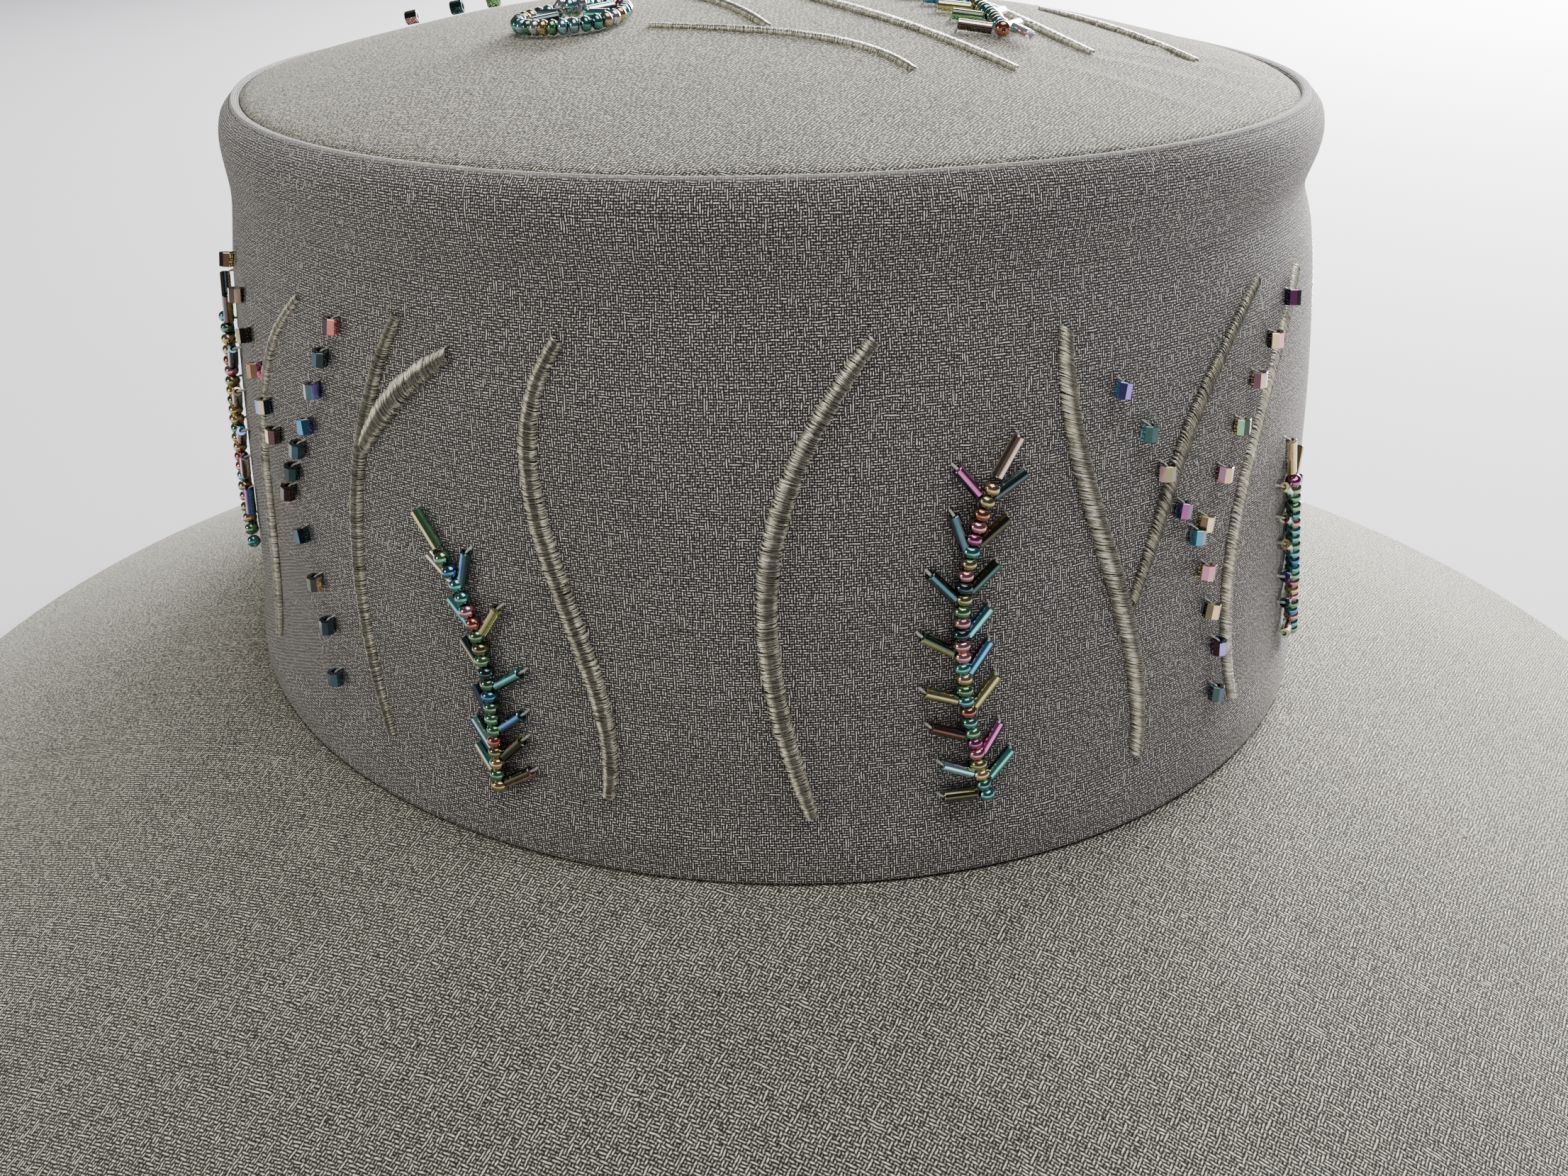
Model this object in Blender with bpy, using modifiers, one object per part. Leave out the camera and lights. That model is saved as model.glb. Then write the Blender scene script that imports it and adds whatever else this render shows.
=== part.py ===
"""A wool crepe hat: an oval crown with a domed tip, a sloping brim, satin-stitch stems and bead sprays.

Metres, +Z up.  The front of the hat faces -Y, and the origin is on the floor under the middle of the brim.
Angles round the crown are in degrees from the front, positive towards +X.
"""
import math

import bmesh
import bpy
from mathutils import Matrix, Vector

HAT_NAME = "wool_hat"
TOOLS_NAME = "wool_hat_tools"

# Crown: the foot line is an oval, and the wall draws in to the seam round the tip.
CROWN_HALF_WIDTH = 0.0855
CROWN_HALF_LENGTH = 0.1005
CROWN_HEIGHT = 0.0872
CROWN_DRAW_IN = 0.00665
CROWN_WALL = 0.0018
SEAM_FRONT_RISE = 0.0039
SEAM_LEFT_RISE = 0.0008
FOOT_FULLNESS = 2.0
SEAM_FULLNESS = 2.15
TIP_DOME = 0.012

# Brim: it leaves the crown's foot and slopes down to the edge that the hat rests on.
BRIM_REACH_SIDE = 0.0753
BRIM_REACH_FRONT = 0.0799
BRIM_DROP = 0.0313
BRIM_WALL = 0.0022
BRIM_LEDGE = 0.0026
REST_WIDTH = 0.0018

# Embroidery and beads; a shift is where a bugle leaves the spine, as a share of the space of a pair
STEM_WIDTH = 0.0022
STEM_HEIGHT = 0.0009
STEM_END_SHARE = 0.42
STEM_BLUNTNESS = 0.6
SEED_DIAMETER = 0.0021
BUGLE_LENGTH = 0.0048
BUGLE_DIAMETER = 0.0016
BUGLE_TILT = 46.0
BUGLE_LIFT = 0.00012
FLOWER_RADIUS = 0.0078
FLOWER_PETALS = 6
LEFT_BUGLE_SHIFT = 0.35
RIGHT_BUGLE_SHIFT = 0.60

# Pieces stand this far apart.
PIECE_GAP = 0.0003

# How finely the pieces are divided
ROUND_STEPS = 56
STEM_STEPS = 8
SPINE_STEPS = 6
TUBE_ROUNDNESS = 1
BUGLE_SIDES = 5

# Steps for measuring slopes: in degrees round the crown, as a share of its height, as a share of a route,
# and across the tip
TURN_STEP = 1.0
RISE_STEP = 0.01
ROUTE_STEP = 0.02
PLAN_STEP = 0.0005

# Wall of the crown, a row for each level: height as a share of CROWN_HEIGHT, draw-in as a share of
# CROWN_DRAW_IN.  The foot flares, the wall necks in under the rolled top edge, and the roll ends at the seam.
WALL_ROWS = (
    (0.000, 0.00),
    (0.030, 0.03),
    (0.120, 0.17),
    (0.300, 0.20),
    (0.500, 0.25),
    (0.700, 0.38),
    (0.840, 0.56),
    (0.930, 0.50),
    (0.970, 0.56),
    (0.988, 0.70),
    (0.997, 0.86),
    (1.000, 1.00),
)

# Tip of the crown, a row for each ring: share of the way from the middle to the seam
TIP_ROWS = (1.00, 0.90, 0.74, 0.54, 0.33, 0.14)

# Upper face of the brim, a row for each ring: share of the reach, share of BRIM_DROP
BRIM_ROWS = (
    (0.00, 0.00),
    (0.05, 0.03),
    (0.17, 0.13),
    (0.38, 0.33),
    (0.62, 0.59),
    (0.86, 0.86),
    (1.00, 1.00),
)

# Stems on the crown's wall: share of CROWN_HEIGHT at foot and head, the angles of the curve's four
# handles from foot to head, and the width as a share of STEM_WIDTH
STEM_ROWS = (
    ("stem_left_outer", 0.117, 0.777, -77.3, -70.4, -79.1, -61.5, 0.70),
    ("stem_left_inner", 0.110, 0.792, -53.4, -57.4, -55.6, -47.8, 0.80),
    ("stem_left_branch", 0.625, 0.752, -50.4, -49.3, -47.5, -42.3, 1.15),
    ("stem_front_left", 0.120, 0.790, -30.0, -27.3, -41.1, -32.2, 1.00),
    ("stem_front_middle", 0.107, 0.792, -12.3, -16.7, -18.9, -6.6, 1.05),
    ("stem_front_right", 0.110, 0.782, 19.1, 20.4, 9.2, 10.2, 1.00),
    ("stem_right_branch", 0.400, 0.785, 19.4, 22.4, 22.3, 33.6, 0.70),
    ("stem_right_outer", 0.110, 0.770, 34.2, 27.7, 31.0, 42.7, 0.85),
    ("stem_side_right", 0.110, 0.780, 66.0, 72.0, 60.0, 67.0, 0.90),
    ("stem_back_right_outer", 0.115, 0.790, 98.0, 93.0, 106.0, 95.0, 1.00),
    ("stem_back_right", 0.110, 0.785, 121.0, 125.0, 114.0, 119.0, 0.90),
    ("stem_back_middle", 0.107, 0.792, 166.0, 170.0, 158.0, 164.0, 1.05),
    ("stem_back_left", 0.112, 0.780, 191.0, 186.0, 198.0, 193.0, 0.90),
    ("stem_back_left_outer", 0.110, 0.788, 230.0, 225.0, 236.0, 224.0, 1.00),
    ("stem_side_left", 0.115, 0.775, 255.0, 259.0, 250.0, 257.0, 0.80),
)

# Stems on the tip: foot and head as shares of the half width and half length at the seam, the bow of the
# curve to its left near foot and head as shares of the half width, and the width as a share of STEM_WIDTH
TIP_STEM_ROWS = (
    ("tip_stem_flower", -0.27, -0.29, 0.08, -0.66, 0.02, 0.13, 0.70),
    ("tip_stem_long", 0.02, 0.16, 0.26, -0.66, -0.05, -0.02, 0.75),
    ("tip_stem_leaf", 0.40, 0.10, 0.45, -0.55, 0.02, -0.04, 0.75),
    ("tip_stem_side", 0.55, -0.12, 0.67, -0.51, 0.03, 0.01, 0.70),
    ("tip_stem_middle", -0.16, 0.10, -0.08, -0.38, 0.03, 0.02, 0.65),
)

# Section of a stem, a row for each corner: shares of the half width and of the height
STEM_SECTION = (
    (-1.00, 0.00),
    (-0.72, 0.74),
    (0.00, 1.00),
    (0.72, 0.74),
    (1.00, 0.00),
)

# Bead sprays on the crown's wall: share of CROWN_HEIGHT at foot and head, the angles of the curve's four
# handles from foot to head, and the pairs of bugles
SPRAY_ROWS = (
    ("bead_spray_left_side", 0.247, 0.660, -79.7, -87.0, -79.0, -83.7, 6),
    ("bead_spray_front_left", 0.097, 0.462, -40.5, -40.9, -39.7, -44.6, 6),
    ("bead_spray_front_right", 0.117, 0.585, 3.0, 0.5, -1.4, 2.9, 7),
    ("bead_spray_right_side", 0.095, 0.475, 51.8, 48.2, 45.6, 43.0, 6),
    ("bead_spray_side_back", 0.105, 0.500, 82.0, 85.0, 80.0, 84.0, 6),
    ("bead_spray_back_right", 0.117, 0.560, 143.0, 140.5, 146.0, 142.0, 7),
    ("bead_spray_back_left", 0.100, 0.480, 211.0, 208.0, 213.0, 209.0, 6),
)

# Bead spray on the tip: foot and head of the spine as shares of the half width and half length at the
# seam, its bow to the left, and the pairs of bugles
TIP_SPRAY = ("tip_bead_spray", 0.31, -0.49, 0.30, 0.08, -0.06, 6)

# Middle of the bead flower on the tip, as shares of the half width and half length at the seam
FLOWER_PLACE = (-0.385, -0.19)

COLOURS = {
    "wool_cloth": ((0.150, 0.142, 0.128), 0.9, 0.0),
    "satin_thread": ((0.330, 0.330, 0.290), 0.45, 0.0),
    "iris_beads": ((0.080, 0.200, 0.210), 0.2, 0.6),
}


def clear_scene():
    for item in list(bpy.data.objects):
        bpy.data.objects.remove(item, do_unlink=True)


def make_collection(name):
    collection = bpy.data.collections.new(name)
    bpy.context.scene.collection.children.link(collection)
    return collection


def make_material(name):
    colour, roughness, metallic = COLOURS[name]
    material = bpy.data.materials.new(name)
    material.use_nodes = True
    shader = material.node_tree.nodes["Principled BSDF"]
    shader.inputs["Base Color"].default_value = (*colour, 1.0)
    shader.inputs["Roughness"].default_value = roughness
    shader.inputs["Metallic"].default_value = metallic
    return material


def mesh_object(name, mesh_data, collection, material_name):
    item = bpy.data.objects.new(name, mesh_data)
    collection.objects.link(item)
    item.data.materials.append(make_material(material_name))
    return item


def foot_height():
    """Height above the floor of the line where crown and brim meet."""
    return BRIM_DROP + BRIM_WALL


def oval_point(angle, half_width, half_length, fullness):
    """A point of an oval; a fullness of 2 is an ellipse, and more is squarer."""
    across = math.sin(math.radians(angle))
    along = -math.cos(math.radians(angle))
    swell = (abs(across) ** fullness + abs(along) ** fullness) ** (-1.0 / fullness)
    return half_width * across * swell, half_length * along * swell


def draw_in_at(share):
    """How far the crown's wall lies inside the foot line at a share of its height."""
    for (low, low_in), (high, high_in) in zip(WALL_ROWS, WALL_ROWS[1:]):
        if share <= high:
            mix = (share - low) / (high - low)
            return CROWN_DRAW_IN * (low_in + (high_in - low_in) * mix)
    return CROWN_DRAW_IN


def rake_at(x, y):
    """How far the seam's plane stands above its middle."""
    return -x * SEAM_LEFT_RISE / CROWN_HALF_WIDTH - y * SEAM_FRONT_RISE / CROWN_HALF_LENGTH


def wall_point(angle, share, out=0.0):
    """A point of the crown's outer wall, moved outwards by out."""
    inset = draw_in_at(share) - out
    fullness = FOOT_FULLNESS + (SEAM_FULLNESS - FOOT_FULLNESS) * share
    x, y = oval_point(angle, CROWN_HALF_WIDTH - inset, CROWN_HALF_LENGTH - inset, fullness)
    return Vector((x, y, foot_height() + PIECE_GAP + (CROWN_HEIGHT + rake_at(x, y)) * share))


def wall_normal(angle, share):
    along = wall_point(angle + TURN_STEP, share) - wall_point(angle - TURN_STEP, share)
    up = wall_point(angle, share + RISE_STEP) - wall_point(angle, share - RISE_STEP)
    return along.cross(up).normalized()


def on_wall(angle, share, height):
    """A point at a height above the crown's wall, measured square to the wall."""
    return wall_point(angle, share) + wall_normal(angle, share) * height


def tip_share(x, y):
    """How far a place in plan lies from the middle of the tip, as a share of the way to the seam."""
    half_width = CROWN_HALF_WIDTH - CROWN_DRAW_IN
    half_length = CROWN_HALF_LENGTH - CROWN_DRAW_IN
    total = abs(x / half_width) ** SEAM_FULLNESS + abs(y / half_length) ** SEAM_FULLNESS
    return total ** (1.0 / SEAM_FULLNESS)


def tip_height(x, y):
    dome = TIP_DOME * (1.0 - tip_share(x, y) ** 2)
    return foot_height() + PIECE_GAP + CROWN_HEIGHT + rake_at(x, y) + dome


def on_tip(across, along, height):
    """A point above the tip at shares of its half width and half length."""
    x = across * (CROWN_HALF_WIDTH - CROWN_DRAW_IN)
    y = along * (CROWN_HALF_LENGTH - CROWN_DRAW_IN)
    return Vector((x, y, tip_height(x, y))) + tip_normal(x, y) * height


def tip_normal(x, y):
    slope_x = (tip_height(x + PLAN_STEP, y) - tip_height(x - PLAN_STEP, y)) / (2 * PLAN_STEP)
    slope_y = (tip_height(x, y + PLAN_STEP) - tip_height(x, y - PLAN_STEP)) / (2 * PLAN_STEP)
    return Vector((-slope_x, -slope_y, 1.0)).normalized()


def round_angles():
    return [360.0 * step / ROUND_STEPS for step in range(ROUND_STEPS)]


def skin_rings(rings, close_section=False, middle=None):
    """A mesh through rings of equal count; the last ring may join the first, or close on a middle point."""
    shape = bmesh.new()
    loops = [[shape.verts.new(point) for point in ring] for ring in rings]
    pairs = list(zip(loops, loops[1:]))
    if close_section:
        pairs.append((loops[-1], loops[0]))
    for lower, upper in pairs:
        for here in range(len(lower)):
            after = (here + 1) % len(lower)
            shape.faces.new((lower[here], lower[after], upper[after], upper[here]))
    if middle is not None:
        hub = shape.verts.new(middle)
        for here in range(len(loops[-1])):
            after = (here + 1) % len(loops[-1])
            shape.faces.new((loops[-1][here], loops[-1][after], hub))
    bmesh.ops.recalc_face_normals(shape, faces=shape.faces)
    return shape


def finish_mesh(shape, name, sharp_angle=40.0):
    mesh_data = bpy.data.meshes.new(name)
    shape.to_mesh(mesh_data)
    shape.free()
    mesh_data.shade_smooth()
    mesh_data.set_sharp_from_angle(angle=math.radians(sharp_angle))
    return mesh_data


def thicken(item, thickness):
    """Give an open surface its wall, on the inner side."""
    wall = item.modifiers.new("wall", "SOLIDIFY")
    wall.thickness = thickness
    wall.offset = -1.0
    wall.use_even_offset = True
    wall.use_quality_normals = True


def face_outwards(shape):
    """Turn an open surface's faces away from the middle of the hat."""
    centre = Vector((0.0, 0.0, foot_height()))
    facing = sum((face.calc_center_median() - centre).dot(face.normal) for face in shape.faces)
    if facing < 0:
        bmesh.ops.reverse_faces(shape, faces=shape.faces)


def build_crown_side(hat):
    rings = [[wall_point(angle, share) for angle in round_angles()] for share, _ in WALL_ROWS]
    shape = skin_rings(rings)
    face_outwards(shape)
    item = mesh_object("crown_side", finish_mesh(shape, "crown_side"), hat, "wool_cloth")
    thicken(item, CROWN_WALL)


def build_crown_tip(hat):
    edge = [wall_point(angle, 1.0, -PIECE_GAP) for angle in round_angles()]
    rings = []
    for share in TIP_ROWS:
        ring = []
        for point in edge:
            x, y = point.x * share, point.y * share
            ring.append(Vector((x, y, tip_height(x, y))))
        rings.append(ring)
    shape = skin_rings(rings, middle=Vector((0.0, 0.0, tip_height(0.0, 0.0))))
    face_outwards(shape)
    item = mesh_object("crown_tip", finish_mesh(shape, "crown_tip"), hat, "wool_cloth")
    thicken(item, CROWN_WALL)


def brim_ring(reach_share, out, height):
    """A ring of the brim at a share of its reach, moved outwards by out."""
    half_width = CROWN_HALF_WIDTH + BRIM_REACH_SIDE * reach_share + out
    half_length = CROWN_HALF_LENGTH + BRIM_REACH_FRONT * reach_share + out
    ring = []
    for angle in round_angles():
        x, y = oval_point(angle, half_width, half_length, FOOT_FULLNESS)
        ring.append(Vector((x, y, height)))
    return ring


def brim_slope(row):
    """The direction outwards and down the brim's profile at a row, as a unit pair."""
    reach = (BRIM_REACH_SIDE + BRIM_REACH_FRONT) / 2
    before = BRIM_ROWS[max(row - 1, 0)]
    after = BRIM_ROWS[min(row + 1, len(BRIM_ROWS) - 1)]
    run = (after[0] - before[0]) * reach
    fall = (after[1] - before[1]) * BRIM_DROP
    length = math.hypot(run, fall)
    return run / length, fall / length


def build_brim(hat):
    top = foot_height()
    rings = [brim_ring(0.0, -BRIM_LEDGE, top)]
    for reach_share, drop_share in BRIM_ROWS:
        rings.append(brim_ring(reach_share, 0.0, top - drop_share * BRIM_DROP))
    rings.append(brim_ring(1.0, 0.0, 0.0))
    rings.append(brim_ring(1.0, -REST_WIDTH, 0.0))
    for row in reversed(range(len(BRIM_ROWS) - 1)):
        reach_share, drop_share = BRIM_ROWS[row]
        run, fall = brim_slope(row)
        height = top - drop_share * BRIM_DROP - BRIM_WALL * run
        rings.append(brim_ring(reach_share, -BRIM_WALL * fall, height))
    rings.append(brim_ring(0.0, -BRIM_LEDGE, top - BRIM_WALL))
    shape = skin_rings(rings, close_section=True)
    mesh_object("brim", finish_mesh(shape, "brim", 35.0), hat, "wool_cloth")


def curve_value(share, first, second, third, fourth):
    """A curve through its first and last handle, pulled towards the two between."""
    rest = 1.0 - share
    return (rest ** 3 * first + 3 * rest ** 2 * share * second
            + 3 * rest * share ** 2 * third + share ** 3 * fourth)


def wall_route(foot, head, handles):
    """A function from a share of the route and a height to a point above the crown's wall."""
    def place(share, height):
        return on_wall(curve_value(share, *handles), foot + (head - foot) * share, height)
    return place


def tip_route(foot, head, bow_low, bow_high):
    """The same above the tip, between two places in plan, with a bow to the left near foot and head."""
    run = Vector(head) - Vector(foot)
    left = Vector((-run.y, run.x)).normalized()
    handles = (
        Vector(foot),
        Vector(foot) + run / 3 + left * bow_low,
        Vector(foot) + run * 2 / 3 + left * bow_high,
        Vector(head),
    )

    def place(share, height):
        plan = curve_value(share, *handles)
        return on_tip(plan.x, plan.y, height)
    return place


def route_frame(place, share, height):
    """Point, direction along, direction across and outward normal at a share of a route."""
    point = place(share, height)
    along = (place(share + ROUTE_STEP, height) - place(share - ROUTE_STEP, height)).normalized()
    normal = (place(share, height + STEM_HEIGHT) - point).normalized()
    across = along.cross(normal).normalized()
    return point, along, across, across.cross(along).normalized()


def stem_fullness(share):
    """A stem is fullest at its middle and narrow at both ends."""
    swell = math.sin(math.pi * min(max(share, 0.0), 1.0)) ** STEM_BLUNTNESS
    return STEM_END_SHARE + (1.0 - STEM_END_SHARE) * swell


def build_stem(hat, name, place, width_share):
    shape = bmesh.new()
    loops = []
    for step in range(STEM_STEPS + 1):
        share = step / STEM_STEPS
        point, _, across, normal = route_frame(place, share, PIECE_GAP)
        half_width = STEM_WIDTH / 2 * width_share * stem_fullness(share)
        height = STEM_HEIGHT * math.sqrt(stem_fullness(share))
        loop = []
        for side, up in STEM_SECTION:
            loop.append(shape.verts.new(point + across * side * half_width + normal * up * height))
        loops.append(loop)
    corners = len(STEM_SECTION)
    for lower, upper in zip(loops, loops[1:]):
        for here in range(corners):
            after = (here + 1) % corners
            shape.faces.new((lower[here], lower[after], upper[after], upper[here]))
    shape.faces.new(loops[0])
    shape.faces.new(loops[-1])
    bmesh.ops.recalc_face_normals(shape, faces=shape.faces)
    mesh_object(name, finish_mesh(shape, name), hat, "satin_thread")


def tube_object(name, points, radius, closed, collection, material_name):
    """A round tube through points, as one closed mesh."""
    curve = bpy.data.curves.new(name, "CURVE")
    curve.dimensions = "3D"
    curve.bevel_depth = radius
    curve.bevel_resolution = TUBE_ROUNDNESS
    curve.use_fill_caps = not closed
    spline = curve.splines.new("POLY")
    spline.points.add(len(points) - 1)
    for spline_point, point in zip(spline.points, points):
        spline_point.co = (*point, 1.0)
    spline.use_cyclic_u = closed
    guide = bpy.data.objects.new(name + "_guide", curve)
    collection.objects.link(guide)
    bpy.context.view_layer.update()
    evaluated = guide.evaluated_get(bpy.context.evaluated_depsgraph_get())
    shape = bmesh.new()
    shape.from_mesh(bpy.data.meshes.new_from_object(evaluated))
    bpy.data.objects.remove(guide, do_unlink=True)
    bmesh.ops.remove_doubles(shape, verts=shape.verts, dist=0.00001)
    bmesh.ops.recalc_face_normals(shape, faces=shape.faces)
    return mesh_object(name, finish_mesh(shape, name), collection, material_name)


def add_bugle(name, start, direction, normal, tools):
    """A bugle from a point along a direction, as a solid to be joined."""
    shape = bmesh.new()
    bmesh.ops.create_cone(
        shape, cap_ends=True, segments=BUGLE_SIDES, radius1=BUGLE_DIAMETER / 2,
        radius2=BUGLE_DIAMETER / 2, depth=BUGLE_LENGTH,
    )
    along = direction.normalized()
    across = along.cross(normal).normalized()
    up = across.cross(along)
    turn = Matrix((across, up, -along)).transposed().to_4x4()
    centre = start + along * BUGLE_LENGTH / 2
    bmesh.ops.transform(shape, matrix=Matrix.Translation(centre) @ turn, verts=shape.verts)
    bmesh.ops.recalc_face_normals(shape, faces=shape.faces)
    item = mesh_object(name, finish_mesh(shape, name), tools, "iris_beads")
    item.hide_render = True
    item.display_type = "WIRE"
    return item


def join_to(base, pieces):
    for piece in pieces:
        joint = base.modifiers.new(piece.name, "BOOLEAN")
        joint.operation = "UNION"
        joint.solver = "EXACT"
        joint.object = piece


def build_spray(hat, tools, name, place, pairs):
    """A spine of seed beads with bugles slanting up from it on both sides, and one at its head."""
    spine_height = PIECE_GAP + SEED_DIAMETER / 2
    bugle_height = PIECE_GAP + BUGLE_LIFT + BUGLE_DIAMETER / 2
    points = [place(step / SPINE_STEPS, spine_height) for step in range(SPINE_STEPS + 1)]
    spine = tube_object(name, points, SEED_DIAMETER / 2, False, hat, "iris_beads")
    bugles = []
    for pair in range(pairs):
        for side, shift in ((-1, LEFT_BUGLE_SHIFT), (1, RIGHT_BUGLE_SHIFT)):
            share = (pair + shift) / pairs
            point, along, across, normal = route_frame(place, share, bugle_height)
            tilt = math.radians(BUGLE_TILT)
            direction = along * math.cos(tilt) + across * side * math.sin(tilt)
            bugles.append(add_bugle(f"{name}_{pair}_{side}", point, direction, normal, tools))
    point, along, _, normal = route_frame(place, 0.97, bugle_height)
    bugles.append(add_bugle(name + "_head", point, along, normal, tools))
    join_to(spine, bugles)


def build_flower(hat, tools):
    """A ring of seed beads on the tip, with short bugles from the ring towards its middle."""
    name = "tip_bead_flower"
    x = FLOWER_PLACE[0] * (CROWN_HALF_WIDTH - CROWN_DRAW_IN)
    y = FLOWER_PLACE[1] * (CROWN_HALF_LENGTH - CROWN_DRAW_IN)
    normal = tip_normal(x, y)
    centre = Vector((x, y, tip_height(x, y)))
    right = Vector((1.0, 0.0, 0.0)).cross(normal).cross(normal).normalized()
    ahead = normal.cross(right)
    corners = 3 * FLOWER_PETALS
    lift = normal * (PIECE_GAP + SEED_DIAMETER / 2)
    spokes = [right * math.cos(turn) + ahead * math.sin(turn)
              for turn in (2 * math.pi * step / corners for step in range(corners))]
    points = [centre + lift + spoke * FLOWER_RADIUS for spoke in spokes]
    ring = tube_object(name, points, SEED_DIAMETER / 2, True, hat, "iris_beads")
    low = normal * (PIECE_GAP + BUGLE_LIFT + BUGLE_DIAMETER / 2)
    petals = []
    for petal in range(FLOWER_PETALS):
        spoke = spokes[3 * petal]
        start = centre + low + spoke * FLOWER_RADIUS
        petals.append(add_bugle(f"{name}_{petal}", start, -spoke, normal, tools))
    join_to(ring, petals)


def main():
    clear_scene()
    hat = make_collection(HAT_NAME)
    tools = make_collection(TOOLS_NAME)
    build_brim(hat)
    build_crown_side(hat)
    build_crown_tip(hat)
    for name, foot, head, *handles, width_share in STEM_ROWS:
        build_stem(hat, name, wall_route(foot, head, handles), width_share)
    for name, foot_x, foot_y, head_x, head_y, bow_low, bow_high, width_share in TIP_STEM_ROWS:
        place = tip_route((foot_x, foot_y), (head_x, head_y), bow_low, bow_high)
        build_stem(hat, name, place, width_share)
    for name, foot, head, *handles, pairs in SPRAY_ROWS:
        build_spray(hat, tools, name, wall_route(foot, head, handles), pairs)
    name, foot_x, foot_y, head_x, head_y, bow, pairs = TIP_SPRAY
    place = tip_route((foot_x, foot_y), (head_x, head_y), bow, bow)
    build_spray(hat, tools, name, place, pairs)
    build_flower(hat, tools)


main()
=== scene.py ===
"""The looks of a hollow wool crepe hat: its cloth, satin-stitch stems, iris beads and a plain stage.

Metres, +Z up. The front of the hat faces -Y, and the origin is on the floor under the middle of the brim.
Angles round the crown are in degrees from the front, positive towards +X. A share of a height, reach or
route runs from 0 to 1.
"""
import math

import bmesh
import bpy
import numpy as np
from bpy.props import FloatProperty, FloatVectorProperty, IntProperty, PointerProperty
from mathutils import Matrix, Vector


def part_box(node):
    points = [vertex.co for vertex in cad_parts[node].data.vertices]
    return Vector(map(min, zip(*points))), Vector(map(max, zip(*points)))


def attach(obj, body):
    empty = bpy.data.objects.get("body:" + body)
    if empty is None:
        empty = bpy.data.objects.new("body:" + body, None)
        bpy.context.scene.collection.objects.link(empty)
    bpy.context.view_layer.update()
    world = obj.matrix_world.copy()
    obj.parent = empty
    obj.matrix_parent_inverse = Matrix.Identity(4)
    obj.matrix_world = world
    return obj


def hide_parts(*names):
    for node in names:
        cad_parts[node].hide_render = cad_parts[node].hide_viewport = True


bl_info = {
    "name": "Beaded Wool Hat",
    "version": (1, 0, 0),
    "blender": (4, 5, 0),
    "location": "3D View > Sidebar > Wool Hat",
    "description": "Adds the cloth, satin stitches, beads and stage of a wool crepe hat",
    "category": "Object",
}

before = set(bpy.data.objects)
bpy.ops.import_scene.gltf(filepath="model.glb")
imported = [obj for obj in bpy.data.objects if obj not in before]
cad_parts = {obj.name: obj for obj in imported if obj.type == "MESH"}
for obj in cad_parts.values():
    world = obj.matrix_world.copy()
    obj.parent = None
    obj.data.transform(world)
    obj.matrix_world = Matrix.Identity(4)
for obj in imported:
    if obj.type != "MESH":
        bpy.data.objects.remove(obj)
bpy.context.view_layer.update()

SIDE_LOW, SIDE_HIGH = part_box("crown_side")
BRIM_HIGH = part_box("brim")[1]

# Crown, the same sizes as the frame's own
CROWN_HALF_WIDTH = SIDE_HIGH.x
CROWN_HALF_LENGTH = SIDE_HIGH.y
WALL_FOOT = SIDE_LOW.z
CROWN_HEIGHT = 0.0872
CROWN_DRAW_IN = 0.00665
CROWN_WALL = 0.0018
SEAM_FRONT_RISE = 0.0039
SEAM_LEFT_RISE = 0.0008
FOOT_FULLNESS = 2.0
SEAM_FULLNESS = 2.15
TIP_DOME = 0.012
SEAM_GAP = 0.0003

# Brim: BRIM_LEDGE runs in under the crown, REST_WIDTH is the flat that the hat rests on, and the rest of the
# underside stays over BRIM_FLOOR_GAP
BRIM_TOP = BRIM_HIGH.z
BRIM_REACH_SIDE = BRIM_HIGH.x - CROWN_HALF_WIDTH
BRIM_REACH_FRONT = BRIM_HIGH.y - CROWN_HALF_LENGTH
BRIM_WALL = 0.0022
BRIM_DROP = BRIM_TOP - BRIM_WALL
BRIM_LEDGE = 0.0026
REST_WIDTH = 0.0018
BRIM_FLOOR_GAP = 0.0003

# Wall of the crown: height share, draw-in as a share of CROWN_DRAW_IN
WALL_ROWS = (
    (0.000, 0.00),
    (0.030, 0.03),
    (0.120, 0.17),
    (0.300, 0.20),
    (0.500, 0.25),
    (0.700, 0.38),
    (0.840, 0.56),
    (0.930, 0.50),
    (0.970, 0.56),
    (0.988, 0.70),
    (0.997, 0.86),
    (1.000, 1.00),
)

# Upper face of the brim: share of the reach, share of BRIM_DROP
BRIM_ROWS = (
    (0.00, 0.00),
    (0.05, 0.03),
    (0.17, 0.13),
    (0.38, 0.33),
    (0.62, 0.59),
    (0.86, 0.86),
    (1.00, 1.00),
)

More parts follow.
